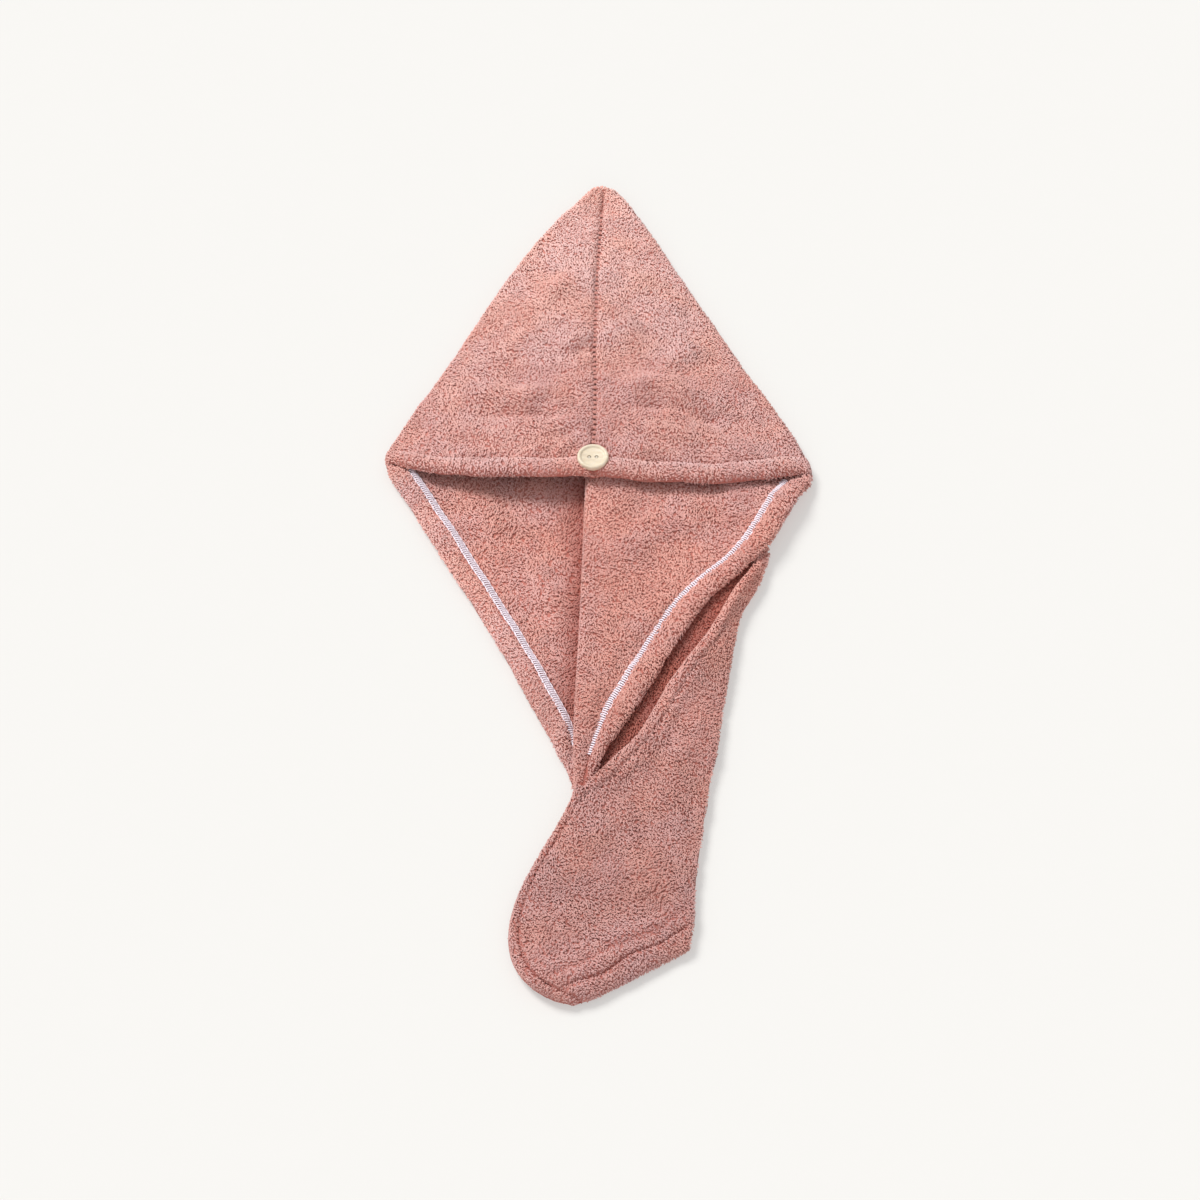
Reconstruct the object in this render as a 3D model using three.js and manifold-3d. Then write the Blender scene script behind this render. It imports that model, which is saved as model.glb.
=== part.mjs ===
import * as THREE from 'three';
import Module from 'manifold-3d';

// Hair turban towel, lying open with its nape panel up and its tail folded to the right.
// Millimetres, +Z up, +Y towards the pointed top of the nape. It rests on z = 0.

// Driving sizes
const hoodWidth = 238;        // widest part, corner to corner
const napeLength = 241;       // hem of the nape up to the point
const frontLength = 213;      // hem of the nape down to the end of the opening
const tailLength = 134;       // end of the opening down to the tip
const tailWidth = 102;        // span that the tail's rows are shares of
const cloth = 2.6;            // thickness of the fleece
const hemThickness = 5.0;     // rolled hem, two turns of fleece
const hemWidth = 14;          // hem edge to its stitch line
const layerGap = 0.4;         // air between two layers that lie on each other
const seamGap = 0.3;          // air between the two panels where they are sewn
const foldRadius = 2.6;       // mid-surface radius where a panel turns over at a side edge
const napeRise = 19;          // height of the nape's middle at its hem
const tailPuff = 3.0;         // how far the tail's upper layer stands off the lower one
const edgeRise = 3.2;         // extra height of the tail's padded edge along the slit
const edgePadding = 0.7;      // share of that height which is extra thickness
const tipGap = 1.9;           // air between the panels at the very point
const buttonDiameter = 18;
const buttonThickness = 3.2;
const rimWidth = 2.2;
const rimHeight = 0.9;
const holeDiameter = 2.2;
const holeSpacing = 4.2;
const shankDiameter = 4.0;
const shankHeight = 0.8;
const buttonInset = 0.72;     // share of the hem's width, up from its edge

const colours = { fleece: 0xd4978c, button: 0xf2e6d0, thread: 0xe9dccb };

// Rails: row 0 is the point, 1 the nape's hem, 2 the end of the opening, 3 the tip.
// across is a share of hoodWidth (of tailWidth from row 2), along a share of the length of
// that stretch, counted up from the hem to row 1 and down after it.
const leftEdge = [
  { row: 0, across: 0.008, along: 1.0 },
  { row: 0.04, across: -0.014, along: 0.988 },
  { row: 0.09, across: -0.044, along: 0.95 },
  { row: 0.18, across: -0.11, along: 0.873 },
  { row: 0.3, across: -0.204, along: 0.724 },
  { row: 0.45, across: -0.312, along: 0.516 },
  { row: 0.6, across: -0.394, along: 0.351 },
  { row: 0.75, across: -0.459, along: 0.23 },
  { row: 0.88, across: -0.5, along: 0.148 },
  { row: 0.95, across: -0.514, along: 0.114 },
  { row: 1, across: -0.514, along: 0.086 },
  { row: 1.03, across: -0.505, along: -0.062 },
  { row: 1.1, across: -0.459, along: 0.032 },
  { row: 1.3, across: -0.348, along: 0.267 },
  { row: 1.5, across: -0.253, along: 0.471 },
  { row: 1.7, across: -0.158, along: 0.699 },
  { row: 1.85, across: -0.1, along: 0.842 },
  { row: 1.95, across: -0.068, along: 0.934 },
  { row: 2, across: 0, along: -0.011 },
  { row: 2.12, across: -0.062, along: 0.113 },
  { row: 2.3, across: -0.179, along: 0.293 },
  { row: 2.5, across: -0.294, along: 0.499 },
  { row: 2.66, across: -0.332, along: 0.665 },
  { row: 2.79, across: -0.305, along: 0.801 },
  { row: 2.89, across: -0.223, along: 0.899 },
  { row: 2.96, across: -0.106, along: 0.963 },
  { row: 3, across: -0.005, along: 1.0 },
];
const rightEdge = [
  { row: 0, across: 0.008, along: 1.0 },
  { row: 0.04, across: 0.03, along: 0.985 },
  { row: 0.09, across: 0.06, along: 0.948 },
  { row: 0.18, across: 0.12, along: 0.842 },
  { row: 0.3, across: 0.199, along: 0.688 },
  { row: 0.45, across: 0.292, along: 0.503 },
  { row: 0.6, across: 0.37, along: 0.348 },
  { row: 0.75, across: 0.437, along: 0.23 },
  { row: 0.88, across: 0.483, along: 0.136 },
  { row: 0.95, across: 0.499, along: 0.095 },
  { row: 1, across: 0.508, along: 0.055 },
  { row: 1.03, across: 0.502, along: -0.027 },
  { row: 1.1, across: 0.469, along: 0.039 },
  { row: 1.2, across: 0.41, along: 0.171 },
  { row: 1.256, across: 0.364, along: 0.243 },
  { row: 1.38, across: 0.252, along: 0.377 },
  { row: 1.52, across: 0.178, along: 0.519 },
  { row: 1.68, across: 0.099, along: 0.691 },
  { row: 1.81, across: 0.034, along: 0.819 },
  { row: 1.92, across: -0.012, along: 0.929 },
  { row: 2, across: -0.035, along: 1.0 },
];
const napeSeam = [
  { row: 0, across: 0.006, along: 0.923, rise: 0.34 },
  { row: 0.09, across: 0.001, along: 0.84, rise: 0.34 },
  { row: 0.18, across: -0.004, along: 0.752, rise: 0.44 },
  { row: 0.3, across: -0.009, along: 0.627, rise: 0.64 },
  { row: 0.45, across: -0.012, along: 0.481, rise: 0.84 },
  { row: 0.6, across: -0.012, along: 0.342, rise: 0.94 },
  { row: 0.75, across: -0.013, along: 0.211, rise: 1.0 },
  { row: 0.88, across: -0.015, along: 0.098, rise: 1.02 },
  { row: 1, across: -0.017, along: 0, rise: 1.0 },
];
const pleat = [
  { row: 0, across: 0.006, along: 0.923 },
  { row: 0.45, across: -0.007, along: 0.518 },
  { row: 1, across: -0.033, along: 0.038 },
  { row: 1.1, across: -0.037, along: 0.068 },
  { row: 1.3, across: -0.042, along: 0.286 },
  { row: 1.5, across: -0.049, along: 0.499 },
  { row: 1.7, across: -0.058, along: 0.707 },
  { row: 1.85, across: -0.061, along: 0.86 },
  { row: 1.95, across: -0.059, along: 0.957 },
  { row: 2, across: -0.056, along: 1.0 },
];
const crownSeam = [
  { row: 0, across: 0.006, along: 0.923 },
  { row: 0.45, across: -0.009, along: 0.518 },
  { row: 0.6, across: 0.06, along: 0.36 },
  { row: 0.8, across: 0.18, along: 0.19 },
  { row: 1, across: 0.277, along: 0.052 },
  { row: 1.1, across: 0.323, along: 0.046 },
  { row: 1.2, across: 0.383, along: 0.163 },
  { row: 1.235, across: 0.398, along: 0.2 },
  { row: 1.3, across: 0.385, along: 0.271 },
  { row: 1.36, across: 0.363, along: 0.335 },
  { row: 1.43, across: 0.333, along: 0.402 },
  { row: 1.5, across: 0.315, along: 0.484 },
  { row: 1.6, across: 0.3, along: 0.589 },
  { row: 1.75, across: 0.279, along: 0.744 },
  { row: 1.88, across: 0.261, along: 0.877 },
  { row: 2, across: 0.697, along: -0.006 },
  { row: 2.12, across: 0.677, along: 0.117 },
  { row: 2.3, across: 0.651, along: 0.264 },
  { row: 2.5, across: 0.63, along: 0.408 },
  { row: 2.66, across: 0.618, along: 0.518 },
  { row: 2.79, across: 0.609, along: 0.604 },
  { row: 2.89, across: 0.603, along: 0.66 },
  { row: 2.96, across: 0.594, along: 0.698 },
  { row: 3, across: 0.584, along: 0.726 },
];
const tailFold = [
  { row: 0.6, across: 0.02, along: 0.36 },
  { row: 0.8, across: 0.12, along: 0.19 },
  { row: 1, across: 0.21, along: 0.045 },
  { row: 1.1, across: 0.262, along: 0.055 },
  { row: 1.2, across: 0.342, along: 0.17 },
  { row: 1.27, across: 0.366, along: 0.254 },
  { row: 1.36, across: 0.308, along: 0.36 },
  { row: 1.5, across: 0.229, along: 0.509 },
  { row: 1.66, across: 0.14, along: 0.675 },
  { row: 1.8, across: 0.077, along: 0.819 },
  { row: 1.9, across: 0.02, along: 0.91 },
  { row: 1.95, across: -0.009, along: 0.957 },
  { row: 2, across: -0.04, along: 1.0 },
];

const forkAcross = -0.056;

function place(entry) {
  const x = entry.across;
  if (entry.row <= 1) return [x * hoodWidth, entry.along * napeLength, entry.rise ?? 0];
  if (entry.row < 2) return [x * hoodWidth, -entry.along * frontLength, entry.rise ?? 0];
  const y = -frontLength - entry.along * tailLength;
  return [forkAcross * hoodWidth + x * tailWidth, y, entry.rise ?? 0];
}

// Smooth curve through the rows of a rail.
function rail(table) {
  const rows = table.map((e) => e.row);
  const points = table.map((e) => (e.row === 2 && e.across < 0 ? placeFork(e) : place(e)));
  const slope = (i) => {
    const a = Math.max(0, i - 1), b = Math.min(rows.length - 1, i + 1);
    return points[a].map((v, k) => (points[b][k] - v) / (rows[b] - rows[a]));
  };
  return (row) => {
    const r = Math.min(Math.max(row, rows[0]), rows[rows.length - 1]);
    let i = 0;
    while (i < rows.length - 2 && r > rows[i + 1]) i += 1;
    const h = rows[i + 1] - rows[i], t = (r - rows[i]) / h;
    const m0 = slope(i), m1 = slope(i + 1);
    return points[i].map((v, k) => {
      const w = points[i + 1][k];
      const a = (2 * t ** 3 - 3 * t ** 2 + 1) * v + (t ** 3 - 2 * t ** 2 + t) * h * m0[k];
      return a + (3 * t ** 2 - 2 * t ** 3) * w + (t ** 3 - t ** 2) * h * m1[k];
    });
  };
}

// Row 2 of the rails that end at the fork is a share of the hood, like the rows before it.
function placeFork(entry) {
  return [entry.across * hoodWidth, -entry.along * frontLength, 0];
}

const rails = {
  left: rail(leftEdge), right: rail(rightEdge), nape: rail(napeSeam),
  pleat: rail(pleat), crown: rail(crownSeam), fold: rail(tailFold),
};

const clamp = (v, a, b) => Math.min(Math.max(v, a), b);
const mix = (a, b, t) => a + (b - a) * t;
const ramp = (a, b, v) => { const t = clamp((v - a) / (b - a), 0, 1); return t * t * (3 - 2 * t); };
const lay = (a, b, t) => [mix(a[0], b[0], t), mix(a[1], b[1], t)];
const span = (a, b) => Math.hypot(b[0] - a[0], b[1] - a[1]);

// Shared stations along the rows: dense at the point, at the nape's hem and at the tip.
function spread(a, b, n) { return Array.from({ length: n }, (_, i) => mix(a, b, i / n)); }
const hemSteps = [1.25, 1.02, 0.88, 0.5, 0.12].map((s) => 1 - (s * hemWidth) / napeLength);
const rows = [
  0, 0.02, 0.05, ...spread(0.09, 0.93, 10), ...hemSteps, 1,
  1.008, 1.03, 1.065, ...spread(1.1, 1.26, 4), ...spread(1.26, 1.9, 11), 1.9, 1.94, 1.97, 2,
  2.05, ...spread(2.12, 2.79, 7), 2.79, 2.86, 2.91, 2.95, 2.98, 3,
];
const hemRow = rows.indexOf(1);
const pleatRow = rows.findIndex((r) => r > 0.62);
const flapEnd = rows.indexOf(1.97);

// Thickness across a hem: a roll, a groove at its stitch line, then plain cloth.
function hemProfile(distance) {
  const s = distance / hemWidth;
  if (s > 1.3) return cloth;
  if (s > 1) return mix(cloth * 0.86, cloth, (s - 1) / 0.3);
  const roll = Math.sin(Math.PI * clamp(s * 0.92 + 0.06, 0, 1)) ** 0.5;
  return mix(cloth * 0.86, hemThickness, roll);
}
const hemStations = [0, 0.12, 0.5, 0.88, 1.02, 1.3];

// How far each nape row hangs below the straight line from seam to side fold, at the hem.
const hemBow = [
  { share: 0, left: 0, right: 0 },
  { share: 0.3, left: 0.018, right: 0.022 },
  { share: 0.55, left: 0.027, right: 0.032 },
  { share: 0.8, left: 0.023, right: 0.02 },
  { share: 0.93, left: 0.012, right: 0.008 },
  { share: 1, left: 0, right: 0 },
];
function bow(share, side) {
  let i = 0;
  while (i < hemBow.length - 2 && share > hemBow[i + 1].share) i += 1;
  const a = hemBow[i], b = hemBow[i + 1];
  const key = side < 0 ? 'left' : 'right';
  return mix(a[key], b[key], ramp(a.share, b.share, share)) * napeLength;
}

// Height of the nape: an arch from the sewn middle down to the side folds.
function napeHeight(row, share, edgeHeight) {
  const top = rails.nape(row)[2] * napeRise;
  return mix(top, edgeHeight, ramp(0, 1, share) * 0.55 + 0.45 * share ** 3);
}

// Dents and swells of the nape: place and size in shares of hoodWidth and napeLength, height in
// shares of the cloth's thickness.
const swells = [
  { across: -0.13, along: 0.22, size: 0.07, height: 0.62 },
  { across: -0.22, along: 0.3, size: 0.06, height: -0.46 },
  { across: -0.02, along: 0.5, size: 0.04, height: 0.46 },
  { across: 0.15, along: 0.27, size: 0.08, height: 0.54 },
  { across: 0.3, along: 0.18, size: 0.06, height: -0.46 },
  { across: -0.36, along: 0.2, size: 0.05, height: 0.38 },
];
function swell(x, y) {
  let z = 0;
  for (const s of swells) {
    const d = ((x / hoodWidth - s.across) / s.size) ** 2 + ((y / napeLength - s.along) / s.size) ** 2;
    z += s.height * cloth * Math.exp(-d);
  }
  return z;
}

// Corner rails, drawn in at the point so that the two panels stay apart there.
function edgeOf(side, row) {
  const edge = side < 0 ? rails.left(row) : rails.right(row);
  edge[0] += (side * tipGap * (1 - ramp(0, 0.06, row))) / 2;
  return edge;
}

// One side of the nape: from the middle seam to the side, and over the side fold.
// Each station gives a mid-surface point and a thickness.
const napeSpan = 11, foldTurns = 5;
function napeStations(side, row) {
  const level = side < 0 ? cloth / 2 : flapEdgeLevel(row);
  const seam = rails.nape(row), edge = edgeOf(side, row);
  const aside = seamGap / 2 + seamGap * (1 - ramp(0, 0.09, row));
  const start = [seam[0] + side * aside, seam[1]];
  const length = span(start, edge);
  const d = [(edge[0] - start[0]) / length, (edge[1] - start[1]) / length];
  const radius = Math.min(foldRadius, length * 0.3);
  const inset = radius + cloth / 2;
  const end = [edge[0] - d[0] * inset, edge[1] - d[1] * inset];
  const thick = hemProfile((1 - row) * napeLength);
  const hang = ramp(0.55, 1, row), soft = ramp(0.2, 0.5, row) * (1 - ramp(0.93, 1, row));
  const out = [];
  for (let i = 0; i <= napeSpan; i += 1) {
    const s = i / napeSpan;
    const p = lay(start, end, s);
    const y = p[1] - bow(s, side) * hang;
    const dent = swell(p[0], y) * Math.sin(Math.PI * clamp(s, 0.02, 0.98)) * soft;
    out.push({ p: [p[0], y, napeHeight(row, s, level + 2 * radius) + dent], t: thick });
  }
  for (let i = 1; i <= foldTurns; i += 1) {
    const a = (Math.PI * i) / foldTurns;
    const c = radius * Math.sin(a), z = level + radius + radius * Math.cos(a);
    out.push({ p: [end[0] + d[0] * c, end[1] + d[1] * c, z], t: mix(thick, cloth, i / foldTurns) });
  }
  const tail = Math.min(cloth, length * 0.1);
  out.push({ p: [end[0] - d[0] * tail, end[1] - d[1] * tail, level], t: cloth });
  return out;
}

// Where the layer under the nape starts: past the side fold's end, or at the hem's edge.
function frontStart(side, row) {
  const edge = edgeOf(side, row);
  if (row > 1) return edge;
  const turned = napeStations(side, row);
  const end = turned[turned.length - 1].p, seam = rails.nape(row);
  const length = span(end, seam);
  return lay(end, seam, Math.min((1.6 * seamGap) / length, 0.2));
}

// Distances along a layer: its hem's stations, then even steps to its far side.
function hemSpan(length, count) {
  const band = Math.min(hemWidth, length / 2.2);
  const steps = hemStations.map((s) => s * band);
  const first = steps[steps.length - 1];
  for (let i = 1; i <= count; i += 1) steps.push(mix(first, length, i / count));
  return { steps, band };
}

// Left panel's front: lies on the floor with its hem up, and ends as the tail's underside.
function leftFront(row) {
  const start = frontStart(-1, row), crown = rails.crown(row);
  const end = [crown[0] - (row < 0.5 ? seamGap / 2 : 0), crown[1]];
  const length = span(start, end);
  const { steps, band } = hemSpan(length, 7);
  const hemmed = ramp(1, 1.04, row) * (1 - ramp(1.9, 2, row));
  return steps.map((dist, i) => {
    const p = lay(start, end, dist / length);
    const free = 1 - ramp(-hemWidth / 2, -foldRadius / 2, p[0] - rails.pleat(row)[0]);
    const full = mix(cloth, hemProfile((dist * hemWidth) / band), hemmed * free);
    const taper = (row > 1 && i === 0) || i === steps.length - 1 ? 0.75 : 1;
    return { p: [p[0], p[1], full / 2], t: full * taper };
  });
}

// Levels of the right panel's mid-surface: flap at its hem, flap by the pleat, layer below it.
const under = cloth / 2 + cloth + layerGap;
const over = under + cloth + layerGap;
function flapEdgeLevel(row) {
  return mix(cloth / 2, over + (hemThickness - cloth) / 2, ramp(1, 1.1, row));
}
const flapLevel = (row) => mix(cloth / 2, over, ramp(0.28, 0.62, row));

// How much of the tail's full height there is in a row of a given width.
function tailLift(row, width) {
  return ramp(1.2, 1.34, row) * (1 - ramp(2.9, 3.02, row) ** 2) * ramp(0, 2 * hemWidth, width);
}

// Cross sections of the tail's upper layer, by share of its width: its puff and its padded edge.
function tailBody(share) {
  const edge = 0.6 * ramp(-0.02, 0.03, share) * (1 - share);
  return Math.max(1 - Math.abs(2 * share - 1) ** 3.2, edge);
}
function tailCrest(row, share) {
  const crest = ramp(-0.02, 0.035, share) * (1 - ramp(0.08, 0.42, share));
  return edgeRise * crest * mix(1, 0.35, ramp(1.9, 2.15, row));
}

// Right panel's front: flap with its hem, pleat fold, layer under the flap, top of the tail.
const flapSpan = 8, pleatTurns = 4, hiddenSpan = 4;
const tailShares = [0.012, 0.03, 0.06, 0.12, 0.22, 0.36, 0.52, 0.68, 0.82, 0.92, 0.975, 1];
function rightFront(row) {
  const start = frontStart(1, row), pleatAt = rails.pleat(row), crown = rails.crown(row);
  const foldR = (cloth + layerGap) / 2;
  const turnIn = (foldR + cloth / 2) * ramp(0.5, 0.62, row) + seamGap / 2;
  const end = [pleatAt[0] + turnIn, pleatAt[1]];
  const length = span(start, end);
  const d = [(end[0] - start[0]) / length, (end[1] - start[1]) / length];
  const { steps, band } = hemSpan(length, flapSpan);
  const reach = row < 1.1 ? clamp(span(start, crown) / length, 0.1, 0.9) : Math.min(0.5, (1.4 * band) / length);
  const hemmed = ramp(1, 1.04, row);
  const out = steps.map((dist, i) => {
    const s = dist / length, p = lay(start, end, s);
    const full = mix(cloth, hemProfile((dist * hemWidth) / band), hemmed);
    const z = mix(flapEdgeLevel(row), flapLevel(row), ramp(0, reach, s));
    return { p: [p[0], p[1], z], t: full * (row > 1 && i === 0 ? 0.75 : 1) };
  });
  for (let i = 1; i <= pleatTurns; i += 1) {
    const a = (Math.PI * i) / pleatTurns, c = foldR * Math.sin(a);
    out.push({ p: [end[0] + d[0] * c, end[1] + d[1] * c, under + foldR + foldR * Math.cos(a)], t: cloth });
  }
  const foldAt = row < 2 ? rails.fold(row) : rails.left(row);
  const from = row < 2 ? end : foldAt;
  const stop = lay(foldAt, from, Math.min(1, (0.8 * cloth) / Math.max(span(foldAt, from), cloth)));
  for (let i = 1; i <= hiddenSpan; i += 1) {
    const p = lay(from, stop, i / hiddenSpan);
    out.push({ p: [p[0], p[1], under], t: cloth });
  }
  const lift = tailLift(row, span(foldAt, crown));
  for (const s of tailShares) {
    const p = lay(foldAt, crown, s);
    const crest = tailCrest(row, s) * lift, pad = crest * edgePadding;
    const z = under + tailPuff * tailBody(s) * lift + crest - pad / 2;
    out.push({ p: [p[0], p[1], z], t: (cloth + pad) * (s === 1 ? 0.75 : 1) });
  }
  return out;
}

// Closed cloth solid from a grid of stations; keep says which cells are there.
function clothSolid(grid, keep = () => true) {
  const R = grid.length, C = grid[0].length;
  const used = Array.from({ length: R }, () => Array(C).fill(false));
  const cell = (i, j) => i >= 0 && j >= 0 && i < R - 1 && j < C - 1 && keep(i, j);
  for (let i = 0; i < R - 1; i += 1) for (let j = 0; j < C - 1; j += 1) {
    if (!cell(i, j)) continue;
    used[i][j] = used[i + 1][j] = used[i][j + 1] = used[i + 1][j + 1] = true;
  }
  const at = (i, j) => new THREE.Vector3(...grid[i][j].p);
  const positions = [], index = [];
  const ids = Array.from({ length: R }, () => Array(C).fill(-1));
  for (let i = 0; i < R; i += 1) for (let j = 0; j < C; j += 1) {
    if (!used[i][j]) continue;
    const sum = new THREE.Vector3();
    for (const [a, b] of [[0, 0], [-1, 0], [0, -1], [-1, -1]]) {
      if (!cell(i + a, j + b)) continue;
      const p = at(i + a, j + b), q = at(i + a + 1, j + b), r = at(i + a, j + b + 1), s = at(i + a + 1, j + b + 1);
      const n = new THREE.Vector3().crossVectors(s.clone().sub(p), r.clone().sub(q));
      if (n.length() > 1e-9) sum.add(n.normalize());
    }
    const n = sum.normalize();
    const half = grid[i][j].t / 2;
    const p = at(i, j);
    ids[i][j] = positions.length / 3;
    positions.push(...p.clone().addScaledVector(n, half).toArray(), ...p.clone().addScaledVector(n, -half).toArray());
  }
  const quad = (a, b, c, d) => { index.push(a, b, c, a, c, d); };
  for (let i = 0; i < R - 1; i += 1) for (let j = 0; j < C - 1; j += 1) {
    if (!cell(i, j)) continue;
    const a = ids[i][j], b = ids[i + 1][j], c = ids[i + 1][j + 1], d = ids[i][j + 1];
    quad(a, b, c, d);
    quad(d + 1, c + 1, b + 1, a + 1);
    if (!cell(i, j - 1)) quad(b, a, a + 1, b + 1);
    if (!cell(i, j + 1)) quad(d, c, c + 1, d + 1);
    if (!cell(i - 1, j)) quad(a, d, d + 1, a + 1);
    if (!cell(i + 1, j)) quad(c, b, b + 1, c + 1);
  }
  const g = new THREE.BufferGeometry();
  g.setAttribute('position', new THREE.Float32BufferAttribute(positions, 3));
  g.setIndex(index);
  return g;
}

const napeRows = rows.slice(0, hemRow + 1);
const napeSolid = (side) => clothSolid(napeRows.map((r) => napeStations(side, r)));
function rightFrontSolid() {
  const flapCells = hemStations.length - 1 + flapSpan;
  const tailCell = flapCells + pleatTurns + hiddenSpan;
  return clothSolid(rows.map(rightFront), (i, j) => {
    if (j < flapCells) return i < flapEnd;
    if (j < tailCell) return i >= pleatRow && i < flapEnd;
    return i >= pleatRow;
  });
}

const wasm = await Module();
wasm.setup();
const { Manifold } = wasm;

function toGeometry(solid) {
  const m = solid.getMesh();
  const g = new THREE.BufferGeometry();
  g.setAttribute('position', new THREE.Float32BufferAttribute(m.vertProperties, 3));
  g.setIndex(Array.from(m.triVerts));
  return g;
}

// Button: disc with a raised rim, a flat recess and two holes; its underside at z = 0.
function buttonSolid() {
  const r = buttonDiameter / 2, h = buttonThickness, soft = rimHeight * 0.8;
  const profile = [
    [0, 0], [r - soft, 0], [r - soft * 0.3, soft * 0.35], [r, soft], [r, h - soft],
    [r - soft * 0.3, h - soft * 0.3], [r - soft, h], [r - rimWidth, h - soft * 0.25],
    [r - rimWidth - soft, h - rimHeight], [0, h - rimHeight],
  ];
  let solid = Manifold.revolve([profile], 32);
  for (const side of [-1, 1]) {
    const hole = Manifold.cylinder(h * 2, holeDiameter / 2, holeDiameter / 2, 14);
    solid = solid.subtract(hole.translate([(side * holeSpacing) / 2, 0, -h / 2]));
  }
  return solid;
}

// Thread: a wound shank under the button and a tuft up each of its holes.
function threadSolid(height) {
  const tuft = holeDiameter / 2 - seamGap;
  const top = height + seamGap + buttonThickness - rimHeight * 1.5;
  let solid = Manifold.cylinder(height, shankDiameter / 2, shankDiameter / 2, 24);
  for (const side of [-1, 1]) {
    const up = Manifold.cylinder(top, tuft, tuft * 0.85, 12);
    solid = solid.add(up.translate([(side * holeSpacing) / 2, 0, 0]));
  }
  return solid;
}

const material = (colour, roughness) => new THREE.MeshStandardMaterial({ color: colour, roughness });
function mesh(name, geometry, mat) {
  const m = new THREE.Mesh(geometry, mat);
  m.name = name;
  return m;
}

const group = new THREE.Group();
const fleece = material(colours.fleece, 1);
const panels = [
  mesh('left_nape', napeSolid(-1), fleece),
  mesh('left_front', clothSolid(rows.map(leftFront)), fleece),
  mesh('right_nape', napeSolid(1), fleece),
  mesh('right_front', rightFrontSolid(), fleece),
];
group.add(...panels);

// Highest cloth under a disc round a point.
function clothTop(x, y, radius) {
  const ray = new THREE.Raycaster();
  const down = new THREE.Vector3(0, 0, -1);
  let top = 0;
  for (let ring = 0; ring <= 4; ring += 1) for (let k = 0; k < 24; k += 1) {
    const a = (k * Math.PI) / 12, r = (ring / 4) * radius;
    ray.set(new THREE.Vector3(x + r * Math.cos(a), y + r * Math.sin(a), 4 * napeRise), down);
    for (const hit of ray.intersectObjects(panels)) top = Math.max(top, hit.point.z);
  }
  return top;
}

const buttonX = rails.nape(1)[0];
const buttonY = hemWidth * buttonInset;
const seat = clothTop(buttonX, buttonY, shankDiameter / 2 + holeDiameter / 2) + seamGap;
const clear = clothTop(buttonX, buttonY, buttonDiameter / 2) + seamGap;
const base = Math.max(clear, seat + shankHeight + seamGap);
const button = mesh('button', toGeometry(buttonSolid()), material(colours.button, 0.4));
button.position.set(buttonX, buttonY, base);
const thread = mesh('button_thread', toGeometry(threadSolid(base - seat - seamGap)), material(colours.thread, 0.9));
thread.position.set(buttonX, buttonY, seat);
group.add(button, thread);

group.updateMatrixWorld(true);
const box = new THREE.Box3().setFromObject(group);
const middle = box.getCenter(new THREE.Vector3());
group.position.set(-middle.x, -middle.y, -box.min.z);

export default group;
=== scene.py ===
import math

import bpy
import numpy as np
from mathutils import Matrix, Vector


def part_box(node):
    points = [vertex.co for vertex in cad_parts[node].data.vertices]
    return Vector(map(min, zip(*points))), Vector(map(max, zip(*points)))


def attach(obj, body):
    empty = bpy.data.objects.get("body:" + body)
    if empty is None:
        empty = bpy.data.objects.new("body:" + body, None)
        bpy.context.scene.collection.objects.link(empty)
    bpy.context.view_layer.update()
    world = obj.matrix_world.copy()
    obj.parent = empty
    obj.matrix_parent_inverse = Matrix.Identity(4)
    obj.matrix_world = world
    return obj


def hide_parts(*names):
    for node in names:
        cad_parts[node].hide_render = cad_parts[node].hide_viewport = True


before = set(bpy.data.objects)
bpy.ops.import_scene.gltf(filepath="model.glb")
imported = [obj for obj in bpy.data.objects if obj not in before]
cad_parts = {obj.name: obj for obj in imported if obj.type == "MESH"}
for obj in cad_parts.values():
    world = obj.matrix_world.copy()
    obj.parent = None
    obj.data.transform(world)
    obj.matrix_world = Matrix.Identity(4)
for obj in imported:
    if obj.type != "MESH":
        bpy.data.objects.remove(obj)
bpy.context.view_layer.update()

SEED = 41
MM = 0.001

# Sizes in millimetres, as in the solid model
HOOD_WIDTH = 238.0
NAPE_LENGTH = 241.0
FRONT_LENGTH = 213.0
TAIL_LENGTH = 134.0
TAIL_WIDTH = 102.0
CLOTH = 2.6
HEM_THICKNESS = 5.0
HEM_WIDTH = 14.0
LAYER_GAP = 0.4
SEAM_GAP = 0.3
FOLD_RADIUS = 2.6
NAPE_RISE = 19.0
TAIL_PUFF = 3.0
EDGE_RISE = 3.2
EDGE_PADDING = 0.7
FORK_ACROSS = -0.056
BUTTON_DIAMETER = 18.0
BUTTON_THICKNESS = 3.2
BUTTON_INSET = 0.72
BUTTON_RECESS = 0.9
HOLE_DIAMETER, HOLE_SPACING = 2.2, 4.2

# Nape, hems and corners, beyond the solid model
TIP_GAP = 0.2  # air between the panels at the point, where the solids have more
HEM_SWELL = 2.0  # extra puff of the hems
HEM_LINE = 1.06  # stitch line of the nape's hem, in from its edge in shares of its width
HEM_DIP = 1.9  # groove along that line
SEAM_DEPTH = 4.0  # groove of the nape's middle seam
FOLD_STRENGTH = 1.6  # factor on the nape's ridges and creases
PLEAT_RISE = 6.0  # how far the pleat stands up under the nape's hem
CORNER_SWELL, CORNER_REACH = 3.8, 9.0  # fullness of the side corners
POINT_BLUNT, POINT_REACH = 2.4, 6.0  # rounding of the hood's point
TIP_BLUNT, TIP_REACH = 2.2, 9.0  # rounding of the tail's tip

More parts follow.
